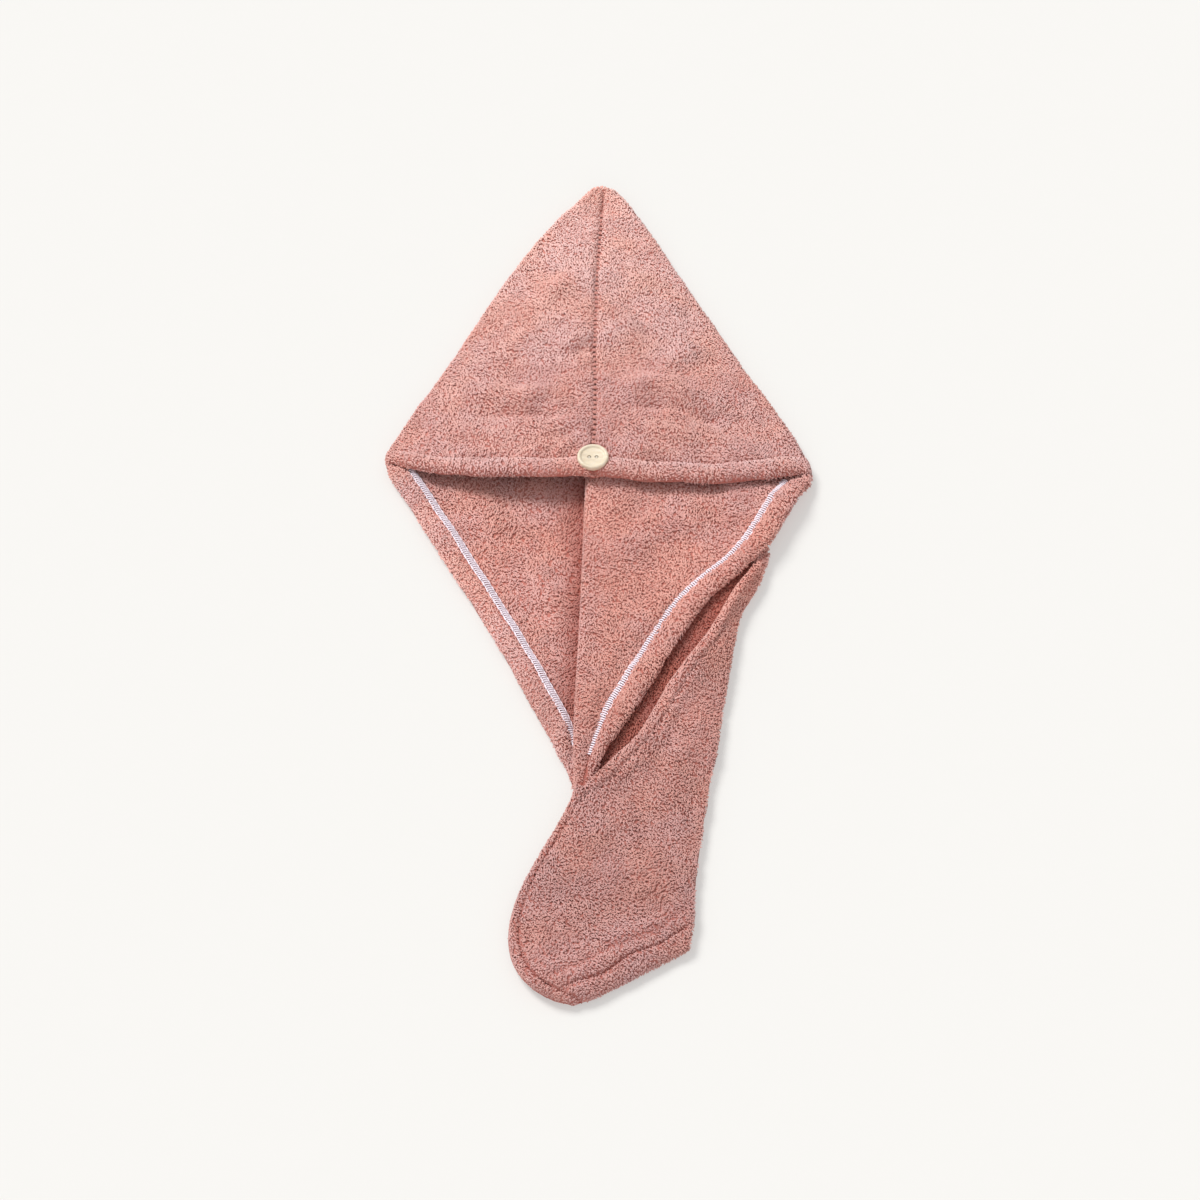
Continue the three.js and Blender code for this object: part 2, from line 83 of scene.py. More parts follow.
# Tail and slit
RIM_RADIUS = 4.0  # rolled left edge of the tail, in from the fold
RIM_RISE = 4.6  # how far that edge stands up along the slit
RIM_LOW = 2.0  # height at which the tail's top layer ends there
RIM_TUCK = 1.8  # how far the layer below stays inside it
RIM_OVER = 3.0  # how far the edge is lifted over the flap's end
RIM_OVERHANG = 2.4  # how far it leans over that end
FLAP_TUCK = (-2.0, -6.0)  # how far the flap's end is pulled under the edge
FLAP_SINK, FLAP_SQUEEZE = 2.6, 0.6  # and how far it sinks and thins there
FLAP_UNDER = (1.86, 1.965)  # rows along which that end goes under the edge
FORK_ROW, FORK_SPREAD = 1.93, 0.07  # where the edge crosses the flap's end
FORK_SHIFT = (1.5, -4.5)  # edge's line there, as its height carries it up the picture
SLIT_OPEN = 4.6  # how far the edge lies clear of the flap's hem, at most
SLIT_WAY = (0.875, -0.485)  # square to the slit
TAIL_SEAM_AT = 4.2  # tail's seam, in from its left edge
TAIL_SEAM_HIGH = 7.4  # the same beside the slit, where that edge stands up
TAIL_SEAM_DEPTH = 3.3
TAIL_STRIP_AT = 10.0  # end seam, up from the tail's bottom edge
TAIL_STRIP_DEPTH = 1.4

# Pile
PILE_DENSITY = 1.1  # tufts for each square millimetre
TUFT_LENGTH, TUFT_WIDTH, TUFT_HEIGHT = 1.65, 0.86, 1.0
TUFT_ROOT = 0.35  # how deep a tuft starts below the cloth's face
LAY_ANGLE = -35.0  # way in which the pile is brushed, in degrees from +X
BARE = 0.97  # share of the pile that a stitch line takes away, which also paints shade along the line
TUFT_SHADE_TONES = (0.08, 0.08, 0.08, 0.75, 0.75, 0.9, 1.0)  # painted shade at the root, paler to the tip, for each of its points
GROUND_SHADE = 0.12  # painted shade on the cloth between the tufts, on the same scale

# Painted shade and highlight in the fleece's colour: 1 leaves it as it is, less paints shade into folds and
# under edges, over 1 paints it paler
PLEAT_SHADE = 0.75  # painted shade beside the pleat
HEM_SHADE = 0.2  # painted shade in front of the nape's hem
HEM_UNDER_SHADE = 0.32  # painted shade on the lower side of that hem, where the pile is also thinner
SLIT_PAINTED_SHADE = 0.12  # painted shade inside the slit
STRIP_TONE = 1.4  # paler tint on the turned face of the left hem, and the top of the scale of the painted highlight
HEM_HIGHLIGHT = 0.42  # painted highlight added on the crest of the nape's hem
HEM_CREST = 12.0  # where it lies, in from the hem's edge

# Stitches
SEAM_PITCH = 3.8  # from stitch to stitch across the nape's middle seam
SEAM_REACH, SEAM_SLANT = 1.7, 0.4  # from the middle of a stitch to its end
SEAM_THREAD = (2.9, 1.1)  # width and height of one stitch
BRIDGE_DROP = 1.1  # how far these stitches lie below the cloth beside them
BRIDGE_LEVEL = 2.8  # where that cloth's height is taken, off the seam
NEAR_SEAM = 45  # columns in which that place is looked up
SEAM_ARCH = (0.2, 0.5)  # how high its ends lie above the seam's line, and its middle above them
OVERLOCK_PITCH, OVERLOCK_WIDTH, OVERLOCK_THREAD = 1.5, 4.4, 1.1
OVERLOCK_ARCH = (0.75, 0.8)  # the same for an overlock stitch
LEFT_SEAM_AT = 0.87  # left overlock, in from the edge in shares of the hem
FLAP_SEAM_AT = 1.02  # groove under the flap's overlock
HEM_STITCH = (2.4, 0.9, 0.6, 0.1)  # length, gap, thread and lift above the cloth

# Ridges and creases: (x, y, angle, length, width, height)
NAPE_WRINKLES = [
    (-62, 66, -14, 22, 6, 2.2), (-40, 62, 8, 14, 5, 1.8), (-44, 48, -6, 22, 4.5, -2.2),
    (-18, 40, 28, 15, 5, 2.4), (-66, 34, -12, 20, 5, 1.4), (-12, 105, 35, 9, 4.5, 2.6),
    (-9, 96, 5, 8, 3.5, -2.0), (24, 70, 12, 15, 6, 2.2), (48, 66, -16, 18, 6, 2.0),
    (30, 54, 4, 13, 5, -2.2), (58, 48, -18, 16, 5, -1.8), (36, 34, -10, 22, 5, 1.8),
    (78, 26, -32, 18, 5, 1.6), (48, 96, 40, 18, 7, 1.5), (-50, 104, 48, 20, 7, 1.5),
    (-20, 22, 42, 9, 2.6, 1.6), (-34, 21, 24, 11, 2.8, 1.3), (13, 20, -40, 9, 2.6, 1.6),
    (28, 20, -20, 12, 2.8, 1.3), (22, 128, -60, 20, 6, -1.4), (-28, 146, 60, 18, 6, 1.4)
]
INNER_WRINKLES = [
    (-60, -20, -50, 22, 8, 1.8), (-30, -70, -70, 24, 8, 1.6), (40, -30, 30, 26, 9, 2.0),
    (28, -90, 55, 24, 8, 1.7), (62, -12, 10, 18, 6, 1.3),
]
TAIL_WRINKLES = [
    (26, -300, 26, 24, 4.5, 1.8), (14, -316, 26, 26, 4.5, 1.3), (24, -255, -60, 28, 8.1, 1.6),
    (44, -190, 70, 30, 6.3, 1.3), (2, -262, 60, 24, 6.3, -1.0), (50, -140, 60, 24, 5.4, 1.0),
]

# Rails as (row, across, along): row 0 is the point, 1 the nape's hem, 2 the fork, 3 the tip.
LEFT_EDGE = [
    (0, 0.008, 1.0), (0.04, -0.014, 0.988), (0.09, -0.044, 0.95), (0.18, -0.11, 0.873),
    (0.3, -0.204, 0.724), (0.45, -0.312, 0.516), (0.6, -0.394, 0.351), (0.75, -0.459, 0.23),
    (0.88, -0.5, 0.148), (0.95, -0.514, 0.114), (1, -0.514, 0.086), (1.03, -0.505, -0.062),
    (1.1, -0.459, 0.032), (1.3, -0.348, 0.267), (1.5, -0.253, 0.471), (1.7, -0.158, 0.699),
    (1.85, -0.1, 0.842), (1.95, -0.068, 0.934), (2, 0, -0.011), (2.12, -0.062, 0.113),
    (2.3, -0.179, 0.293), (2.5, -0.294, 0.499), (2.66, -0.332, 0.665), (2.79, -0.305, 0.801),
    (2.89, -0.223, 0.899), (2.96, -0.106, 0.963), (3, -0.005, 1.0),
]
RIGHT_EDGE = [
    (0, 0.008, 1.0), (0.04, 0.03, 0.985), (0.09, 0.06, 0.948), (0.18, 0.12, 0.842),
    (0.3, 0.199, 0.688), (0.45, 0.292, 0.503), (0.6, 0.37, 0.348), (0.75, 0.437, 0.23),
    (0.88, 0.483, 0.136), (0.95, 0.499, 0.095), (1, 0.508, 0.055), (1.03, 0.502, -0.027),
    (1.1, 0.469, 0.039), (1.2, 0.41, 0.171), (1.256, 0.364, 0.243), (1.38, 0.252, 0.377),
    (1.52, 0.178, 0.519), (1.68, 0.099, 0.691), (1.81, 0.034, 0.819), (1.92, -0.012, 0.929),
    (2, -0.035, 1.0),
]
NAPE_SEAM = [
    (0, 0.006, 0.923, 0.34), (0.09, 0.001, 0.84, 0.34), (0.18, -0.004, 0.752, 0.44),
    (0.3, -0.009, 0.627, 0.64), (0.45, -0.012, 0.481, 0.84), (0.6, -0.012, 0.342, 0.94),
    (0.75, -0.013, 0.211, 1.0), (0.88, -0.015, 0.098, 1.02), (1, -0.017, 0, 1.0),
]
PLEAT = [
    (0, 0.006, 0.923), (0.45, -0.007, 0.518), (1, -0.033, 0.038), (1.1, -0.037, 0.068),
    (1.3, -0.042, 0.286), (1.5, -0.049, 0.499), (1.7, -0.058, 0.707), (1.85, -0.061, 0.86),
    (1.95, -0.059, 0.957), (2, -0.056, 1.0),
]
CROWN_SEAM = [
    (0, 0.006, 0.923), (0.45, -0.009, 0.518), (0.6, 0.06, 0.36), (0.8, 0.18, 0.19),
    (1, 0.277, 0.052), (1.1, 0.323, 0.046), (1.2, 0.383, 0.163), (1.235, 0.398, 0.2),
    (1.3, 0.385, 0.271), (1.36, 0.363, 0.335), (1.43, 0.333, 0.402), (1.5, 0.315, 0.484),
    (1.6, 0.3, 0.589), (1.75, 0.279, 0.744), (1.88, 0.261, 0.877), (2, 0.697, -0.006),
    (2.12, 0.677, 0.117), (2.3, 0.651, 0.264), (2.5, 0.63, 0.408), (2.66, 0.618, 0.518),
    (2.79, 0.609, 0.604), (2.89, 0.603, 0.66), (2.96, 0.594, 0.698), (3, 0.584, 0.726),
]
TAIL_FOLD = [
    (0.6, 0.02, 0.36), (0.8, 0.12, 0.19), (1, 0.21, 0.045), (1.1, 0.262, 0.055),
    (1.2, 0.342, 0.17), (1.27, 0.366, 0.254), (1.36, 0.308, 0.36), (1.5, 0.229, 0.509),
    (1.66, 0.14, 0.675), (1.8, 0.077, 0.819), (1.9, 0.02, 0.91), (1.95, -0.009, 0.957),
    (2, -0.04, 1.0),
]
# How far each nape row hangs below a straight line: (share, left, right)
HEM_BOW = [(0, 0, 0), (0.3, 0.018, 0.022), (0.55, 0.027, 0.032), (0.8, 0.023, 0.02),
           (0.93, 0.012, 0.008), (1, 0, 0)]
# Swells of the nape: (across, along, size, height)
SWELLS = [
    (-0.13, 0.22, 0.07, 0.62), (-0.22, 0.3, 0.06, -0.46), (-0.02, 0.5, 0.04, 0.46),
    (0.15, 0.27, 0.08, 0.54), (0.3, 0.18, 0.06, -0.46), (-0.36, 0.2, 0.05, 0.38),
]


def clamp(v, a, b):
    return np.minimum(np.maximum(v, a), b)


def ramp(a, b, v):
    t = clamp((v - a) / (b - a), 0.0, 1.0)
    return t * t * (3 - 2 * t)


def window(a, b, c, d, v):
    """1 from b to c, easing to 0 at a and at d."""
    return ramp(a, b, v) * (1 - ramp(c, d, v))


def mix(a, b, t):
    return a + (b - a) * t


def place(entry):
    row, across, along = entry[:3]
    rise = entry[3] if len(entry) > 3 else 0.0
    if row <= 1:
        return (across * HOOD_WIDTH, along * NAPE_LENGTH, rise)
    if row < 2 or (row == 2 and across < 0):
        return (across * HOOD_WIDTH, -along * FRONT_LENGTH, rise)
    x = FORK_ACROSS * HOOD_WIDTH + across * TAIL_WIDTH
    return (x, -FRONT_LENGTH - along * TAIL_LENGTH, rise)


def rail(table):
    """Smooth curve through a rail's rows."""
    rows = np.array([e[0] for e in table], float)
    pts = np.array([place(e) for e in table], float)
    n = len(rows)

    def slope(i):
        a, b = max(0, i - 1), min(n - 1, i + 1)
        return (pts[b] - pts[a]) / (rows[b] - rows[a])

    slopes = np.array([slope(i) for i in range(n)])

    def at(row):
        r = min(max(row, rows[0]), rows[-1])
        i = int(min(np.searchsorted(rows, r, side="right") - 1, n - 2))
        i = max(i, 0)
        h = rows[i + 1] - rows[i]
        t = (r - rows[i]) / h
        a = (2 * t**3 - 3 * t**2 + 1) * pts[i] + (t**3 - 2 * t**2 + t) * h * slopes[i]
        return a + (3 * t**2 - 2 * t**3) * pts[i + 1] + (t**3 - t**2) * h * slopes[i + 1]

    return at


LEFT, RIGHT, SEAM = rail(LEFT_EDGE), rail(RIGHT_EDGE), rail(NAPE_SEAM)
FOLD_AT, CROWN, FLAP_FOLD = rail(TAIL_FOLD), rail(CROWN_SEAM), rail(PLEAT)
UNDER = CLOTH / 2 + CLOTH + LAYER_GAP
OVER = UNDER + CLOTH + LAYER_GAP


def lay(a, b, t):
    """Points between a and b (x and y) at shares t."""
    return np.outer(1 - t, a[:2]) + np.outer(t, b[:2])


def span(a, b):
    return math.hypot(b[0] - a[0], b[1] - a[1])


def away(points, at):
    """Distances from a place, seen from above."""
    return np.hypot(points[:, 0] - at[0], points[:, 1] - at[1])


def bump(d, width):
    return np.exp(-((np.asarray(d) / width) ** 2))


def hem_profile(distance):
    """Thickness across a hem: a roll, a groove at its stitch line, then plain cloth."""
    s = distance / HEM_WIDTH
    roll = np.sin(np.pi * clamp(s * 0.92 + 0.06, 0, 1)) ** 0.5
    inside = mix(CLOTH * 0.86, HEM_THICKNESS, roll)
    beyond = mix(CLOTH * 0.86, CLOTH, clamp((s - 1) / 0.3, 0, 1))
    return np.where(s > 1, beyond, inside)


def roll_of(distance):
    """Share of a hem's swell at a distance from its edge."""
    return np.sin(np.pi * clamp(distance / HEM_WIDTH * 0.97 + 0.02, 0, 1)) ** 0.7


def rounded(distance, full):
    """Share of the full thickness near a rounded rim."""
    r = full / 2
    return np.sqrt(clamp(1 - (1 - clamp(distance / r, 0, 1)) ** 2, 0.03, 1))


def bow(share, side):
    table = np.array(HEM_BOW, float)
    key = 1 if side < 0 else 2
    out = np.zeros_like(share)
    for a, b in zip(table[:-1], table[1:]):
        here = (share >= a[0]) & (share <= b[0])
        out = np.where(here, mix(a[key], b[key], ramp(a[0], b[0], share)), out)
    return out * NAPE_LENGTH


def swell(x, y):
    z = np.zeros_like(x)
    for across, along, size, height in SWELLS:
        d = ((x / HOOD_WIDTH - across) / size) ** 2 + ((y / NAPE_LENGTH - along) / size) ** 2
        z += height * CLOTH * np.exp(-d)
    return z


def wrinkles(table, x, y):
    """Long low ridges and creases: (x, y, angle, length, width, height), millimetres and degrees."""
    z = np.zeros_like(x)
    for cx, cy, angle, length, width, height in table:
        a = math.radians(angle)
        u = (x - cx) * math.cos(a) + (y - cy) * math.sin(a)
        v = (y - cy) * math.cos(a) - (x - cx) * math.sin(a)
        z += height * bump(u, length) * bump(v + 0.03 * u * u / length, width)
    return z


def edge_of(side, row):
    edge = LEFT(row) if side < 0 else RIGHT(row)
    edge[0] += side * TIP_GAP * (1 - float(ramp(0, 0.06, row))) / 2
    return edge


def corner_swell(side, points):
    """Extra thickness where the front's hem meets the nape's at a side corner."""
    return CORNER_SWELL * bump(away(points, edge_of(side, 1.0)), CORNER_REACH)


def pleat_lift(row):
    high = PLEAT_RISE * float(1 - 0.62 * ramp(1.02, 1.6, row))
    return high * float(window(0.7, 0.95, 1.8, 1.93, row))


def centre_line():
    """The nape's middle seam and its way on to the point, for lookup by y."""
    points = [SEAM(row)[:2] for row in np.linspace(1, 0, 60)] + [LEFT(0)[:2]]
    return np.array(points)


CENTRE = centre_line()
PLEAT_LINE = np.array([FLAP_FOLD(row)[:2] for row in np.linspace(2, 1, 60)])
EDGE_LINE = np.array([LEFT(row)[:2] for row in np.linspace(2, 1, 60)])


def off_centre(x, y):
    return np.abs(x - np.interp(y, CENTRE[:, 1], CENTRE[:, 0]))


def left_layer_painted_shade(x, y):
    """Painted shade on the left layer beside the pleat and in front of the nape's hem, and a paler tint on
    its hem's turned face.
    """
    gap = np.interp(y, PLEAT_LINE[:, 1], PLEAT_LINE[:, 0]) - x
    in_front = ramp(20, 5, y)
    here = ramp(-FRONT_LENGTH, -0.8 * FRONT_LENGTH, y) * in_front
    from_edge = x - np.interp(y, EDGE_LINE[:, 1], EDGE_LINE[:, 0])
    strip = ramp(HEM_WIDTH, HEM_WIDTH - 4, from_edge) * in_front
    strip *= ramp(-FRONT_LENGTH, -0.9 * FRONT_LENGTH, y)
    return (1 - PLEAT_SHADE * bump(gap, 11) * here) * hem_painted_shade(y) * (1 - strip) + STRIP_TONE * strip


def hem_painted_shade(y):
    """Painted shade in front of the nape's hem, where its shadow falls."""
    return 1 - HEM_SHADE * ramp(-26, 4, y)


def flap_edge_level(row):
    return float(mix(CLOTH / 2, OVER + (HEM_THICKNESS - CLOTH) / 2, ramp(1, 1.1, row)))


def flap_level(row):
    return float(mix(CLOTH / 2, OVER, ramp(0.28, 0.62, row)))


def blunt(points):
    """Rounds off the hood's point and the tail's tip."""
    for end, pull, reach in ((LEFT(3), TIP_BLUNT, TIP_REACH), (LEFT(0), -POINT_BLUNT, POINT_REACH)):
        points[:, 1] += pull * bump(away(points, end), reach)


# Shares across the nape: close at the seam, at its soft roll and where the side fold starts.
NAPE_SHARES = np.concatenate([
    [0, 0.004, 0.01, 0.018, 0.028, 0.04, 0.054], np.linspace(0.07, 0.95, 44), [0.965, 0.98, 0.99, 1]])
FOLD_ANGLES = np.linspace(0, math.pi, 15)[1:]


def bare(distance, width, share):
    """Share of the pile left beside a stitch line, which the colour also takes as painted shade there."""
    return 1 - BARE * bump(distance, width) * share


def nape_pile_and_shade(p, off_seam, sewn, from_hem):
    """Pile of a nape row, from 0 to 1, which also paints shade along its stitch lines, on the hem's lower
    side and under the button; over 1 is a painted highlight on the hem's crest.
    """
    on_line = float(bump(from_hem - HEM_WIDTH * HEM_LINE, 1.7))
    pile = bare(off_seam, 1.7, sewn) * (1 - 0.85 * on_line)
    crest = HEM_HIGHLIGHT * float(bump(from_hem - HEM_CREST, 3.4))
    pile *= 1 + crest - HEM_UNDER_SHADE * float(ramp(5, 1, from_hem))
    # Painted shade, and no pile, under the button
    from_button = away(p, (SEAM(1)[0], HEM_WIDTH * BUTTON_INSET))
    return pile * (1 - ramp(BUTTON_DIAMETER / 2, BUTTON_DIAMETER / 2 - 1.5, from_button))


def nape_top(side, row, start, end, high):
    """Nape row from the seam to its side fold: points, heights, thickness, pile."""
    s = NAPE_SHARES
    from_hem = (1 - row) * NAPE_LENGTH
    p = lay(start, end, s)
    p[:, 1] -= bow(s, side) * float(ramp(0.55, 1, row))
    z = mix(float(SEAM(row)[2]) * NAPE_RISE, high, ramp(0, 1, s) * 0.55 + 0.45 * s**3)
    soft = float(window(0.2, 0.5, 0.93, 1, row))
    z += swell(p[:, 0], p[:, 1]) * np.sin(np.pi * clamp(s, 0.02, 0.98)) * soft
    off_seam = off_centre(p[:, 0], p[:, 1])
    in_hem = float(ramp(HEM_WIDTH * 1.15, HEM_WIDTH * 0.9, from_hem))
    sewn = ramp(NAPE_LENGTH - 2, NAPE_LENGTH - 11, p[:, 1])
    groove = bump(off_seam, 1.8) * sewn * SEAM_DEPTH * (1 - 0.6 * in_hem) * ramp(-0.02, 0.05, 1 - s)
    stitched = float(bump(from_hem - HEM_WIDTH * HEM_LINE, 2.4)) * HEM_DIP
    puff = HEM_SWELL * float(roll_of(from_hem)) * ramp(0, 0.08, 1 - s)
    inside = np.sin(np.pi * clamp(s, 0, 1)) ** 0.4
    folds = FOLD_STRENGTH * wrinkles(NAPE_WRINKLES, p[:, 0], p[:, 1]) * float(ramp(0.03, 0.2, row)) * inside
    z += folds * (1 - 0.75 * in_hem) - groove - stitched * ramp(0, 0.03, 1 - s) + puff / 2
    t = (nape_thickness(from_hem) + puff) * mix(1, rounded(off_seam + 0.25, CLOTH * 1.2), sewn)
    return p, z, t, nape_pile_and_shade(p, off_seam, sewn, from_hem)


def nape_thickness(from_hem):
    return float(hem_profile(from_hem)) * float(rounded(from_hem, HEM_THICKNESS))


def nape_row(side, row):
    """One row of the nape, from the seam over the side fold. Gives points, thickness, pile."""
    level = CLOTH / 2 if side < 0 else flap_edge_level(row)
    seam, edge = SEAM(row), edge_of(side, row)
    start = np.array([seam[0] + side * SEAM_GAP / 2, seam[1]])
    length = span(start, edge)
    d = (edge[:2] - start) / length
    radius = min(FOLD_RADIUS, length * 0.3)
    end = edge[:2] - d * (radius + CLOTH / 2)
    p, z, t, pile = nape_top(side, row, start, end, level + 2 * radius)
    thick = nape_thickness((1 - row) * NAPE_LENGTH)
    c = radius * np.sin(FOLD_ANGLES)
    turn = np.column_stack([end[0] + d[0] * c, end[1] + d[1] * c])
    turn_z = level + radius + radius * np.cos(FOLD_ANGLES)
    turn_t = mix(thick, CLOTH * min(1, thick / CLOTH), FOLD_ANGLES / math.pi)
    p = np.vstack([p, turn, end - d * min(CLOTH, length * 0.1)])
    z = np.concatenate([z, turn_z, [level]])
    t = np.concatenate([t, turn_t, [turn_t[-1] * 0.5]])
    pile = np.concatenate([pile, np.ones(len(turn) + 1)])
    blunt(p)
    return np.column_stack([p, z]), t, pile


def front_start(side, row):
    """Where the layer under the nape starts: past the side fold's end, or at the hem's edge."""
    edge = edge_of(side, row)
    if row > 1:
        return edge
    turned = nape_row(side, row)[0][-1]
    seam = SEAM(row)
    length = span(turned, seam)
    return turned + (seam - turned) * min(1.6 * SEAM_GAP / length, 0.2)


# Distances across a hem band: close at its rim and at its stitch line, in shares of the band.
BAND = np.array([0, 0.01, 0.03, 0.07, 0.13, 0.22, 0.33, 0.45, 0.57, 0.69, 0.79, 0.87, 0.93, 0.97,
                 1.0, 1.03, 1.08, 1.16, 1.3])
LEFT_STEPS, FLAP_STEPS, TURNS, HIDDEN_STEPS = 44, 44, 8, 20


def hem_span(length, count):
    band = min(HEM_WIDTH, length / 2.2)
    steps = BAND * band
    rest = np.linspace(steps[-1], length, count + 1)[1:]
    return np.concatenate([steps, rest]), band


def left_front_row(row):
    """Left panel's front: lies on the floor with its hem up, and ends as the tail's underside."""
    row = row - RIM_TUCK / TAIL_LENGTH * float(ramp(2.85, 3, row))
    start, crown = front_start(-1, row), CROWN(row)
    end = np.array([crown[0] - (SEAM_GAP / 2 if row < 0.5 else 0), crown[1]])
    start = mix(start[:2], end, RIM_TUCK * float(ramp(2.0, 2.1, row)) / span(start, end))
    length = span(start, end)
    steps, band = hem_span(length, LEFT_STEPS)
    hemmed = float(window(1, 1.04, 1.9, 2, row))
    p = lay(start, end, steps / length)
    free = 1 - ramp(-HEM_WIDTH / 2, -FOLD_RADIUS / 2, p[:, 0] - FLAP_FOLD(row)[0])
    full = mix(CLOTH, hem_profile(steps * HEM_WIDTH / band), hemmed * free)
    rim = rounded(length - steps, CLOTH)
    if row > 1:
        rim = rim * rounded(steps, full)
    inside = float(window(0.9, 1.0, 1.8, 1.98, row))
    lift = wrinkles(INNER_WRINKLES, p[:, 0], p[:, 1]) * inside * ramp(1.0, 1.5, steps / band) * free
    full = full + HEM_SWELL * roll_of(steps * HEM_WIDTH / band) * hemmed * free
    full = full + corner_swell(-1, p)
    z = full / 2 + np.maximum(lift, 0)
    blunt(p)
    return np.column_stack([p, z]), full * rim, bare(steps - band * LEFT_SEAM_AT, 2.1, hemmed)


def tail_lift(row, width):
    taper = 1 - float(ramp(2.9, 3.02, row)) ** 2
    return float(ramp(1.2, 1.34, row)) * taper * float(ramp(0, 2 * HEM_WIDTH, width))


def tail_body(share):
    edge = 0.6 * ramp(-0.02, 0.03, share) * (1 - share)
    return np.maximum(1 - np.abs(2 * share - 1) ** 3.2, edge)


def tail_crest(row, share):
    crest = window(-0.02, 0.035, 0.08, 0.42, share)
    return EDGE_RISE * crest * float(mix(1, 0.35, ramp(1.9, 2.15, row)))


TAIL_SHARES = np.concatenate([[0, 0.004, 0.01, 0.018, 0.028, 0.04, 0.054, 0.07, 0.09, 0.11],
                              np.linspace(0.135, 0.94, 40), [0.96, 0.975, 0.985, 0.993, 1]])


def rim_roll(off):
    """Quarter ellipse up the tail's rolled edge, from 0 at the fold."""
    return np.sqrt(1 - (1 - clamp(off / RIM_RADIUS, 0, 1)) ** 2)


def rim_rise(row):
    return RIM_RISE * float(ramp(1.17, 1.34, row) * (1 - 0.75 * ramp(1.98, 2.3, row)))


def slit_offset(row):
    """Opens the slit between the flap's hem and the tail's edge, square to it."""
    return SLIT_OPEN * float(window(1.27, 1.5, 1.78, 1.97, row)) * np.array(SLIT_WAY)


def end_distance(points):
    """Distance from the line along the tail's bottom edge."""
    a, b = LEFT(3)[:2], CROWN(3)[:2]
    way = (b - a) / np.linalg.norm(b - a)
    return np.abs((points[:, 0] - a[0]) * way[1] - (points[:, 1] - a[1]) * way[0])


def flap_part(row, start, end, crown):
    """Flap from its hem to the pleat: points, heights, thickness, pile."""
    length = span(start, end)
    steps, band = hem_span(length, FLAP_STEPS)
    across = steps * HEM_WIDTH / band
    s = steps / length
    reach = min(0.5, 1.4 * band / length)
    if row < 1.1:
        reach = float(clamp(span(start, crown) / length, 0.1, 0.9))
    hemmed, under_rim = float(ramp(1, 1.04, row)), float(ramp(*FLAP_UNDER, row))
    p = lay(start, end, s)
    p += np.array(FLAP_TUCK) * under_rim
    full = mix(CLOTH, hem_profile(across), hemmed) * mix(1, FLAP_SQUEEZE, under_rim)
    z = mix(flap_edge_level(row), flap_level(row), ramp(0, reach, s))
    inside = float(window(0.9, 1.0, 1.85, 1.97, row))
    lift = wrinkles(INNER_WRINKLES, p[:, 0], p[:, 1]) * inside * ramp(1.0, 1.5, steps / band)
    puff = HEM_SWELL * roll_of(across) * hemmed * (1 - under_rim)
    z = z + np.maximum(lift, 0) + puff / 2 + pleat_lift(row) * ramp(0.35, 1.0, s) - FLAP_SINK * under_rim
    corner = corner_swell(1, p)
    full, z = full + puff + corner, z + corner / 2
    t = full * (rounded(steps, full) if row > 1 else 1)
    return p, z, t, bare(steps - band * FLAP_SEAM_AT, 1.9, hemmed)


def pleat_turn(row, end, way, radius):
    """Turn of the cloth at the pleat, from the flap to the layer below it: points, heights."""
    a = np.linspace(0, math.pi, TURNS + 1)[1:]
    turn = np.column_stack([end[0] + way[0] * radius * np.sin(a), end[1] + way[1] * radius * np.sin(a)])
    under_rim = float(ramp(*FLAP_UNDER, row))
    return turn, UNDER + (radius + pleat_lift(row) / 2 - 1.2 * under_rim) * (1 + np.cos(a))


def end_strip(row, top, off, width):
    """Groove of the seam along the tail's bottom edge."""
    from_end = end_distance(top) if row > 2.5 else np.full(len(off), 99.0)
    from_end = from_end + 3.0 * (lattice(top[:, 0], top[:, 1], 15, SEED + 7) - 0.5)
    strip = bump(from_end - TAIL_STRIP_AT, 1.4) + 0.45 * bump(from_end - 1.9 * TAIL_STRIP_AT, 2.6)
    return strip * (TAIL_STRIP_DEPTH * ramp(3, 14, off) * ramp(0, 6, width - off))


def tail_top(row, fold_at, crown):
    """Tail's top layer, from its rolled left edge: points, heights, thickness, pile."""
    ts, width = TAIL_SHARES, span(fold_at, crown)
    lift = tail_lift(row, width)
    top, off = lay(fold_at, crown, ts), ts * width
    crest = tail_crest(row, ts) * lift
    pad = crest * EDGE_PADDING
    sewn = float(ramp(1.4, 1.75, row)) * min(1, width / 20)
    seam_at = float(mix(TAIL_SEAM_HIGH, TAIL_SEAM_AT, ramp(1.95, 2.12, row)))
    shallow = float(mix(1, 0.62, ramp(2.0, 2.3, row)))
    groove = TAIL_SEAM_DEPTH * bump(off - seam_at, 1.4) * sewn * shallow
    folds = wrinkles(TAIL_WRINKLES, top[:, 0], top[:, 1]) * lift
    strip = end_strip(row, top, off, width)
    body = TAIL_PUFF * tail_body(ts) * lift + crest - pad / 2
    low = UNDER + RIM_OVER * float(bump(row - 1.945, 0.05)) * (1 - ramp(0, 16, off))
    standing = rim_rise(row) * (1 - ramp(0.1, 0.95, ts))
    z = low + (body + standing) * rim_roll(off) - groove + folds - strip
    toward = (crown[:2] - fold_at[:2]) / max(width, 1)
    at_fork = bump(row - FORK_ROW, FORK_SPREAD)
    top = top - np.outer(RIM_OVERHANG * at_fork * (1 - ramp(0, 12, off)), toward)
    z = z - (UNDER - RIM_LOW) * ((1 - rim_roll(off)) * float(ramp(1.97, 2.1, row)))
    foot = math.sqrt(1 - (1 - float(clamp((3 - row) * TAIL_LENGTH / RIM_RADIUS, 0, 1))) ** 2)
    t = (CLOTH + pad) * rounded(width - off, CLOTH) * (rounded(off, CLOTH) if row >= 2 else 1)
    # Bare pile along the tail's seams, which also paints shade in their grooves
    pile = bare(off - seam_at, 1.35, sewn) * (1 - 0.8 * strip / TAIL_STRIP_DEPTH)
    return top, RIM_LOW + (z - RIM_LOW) * foot, t, pile


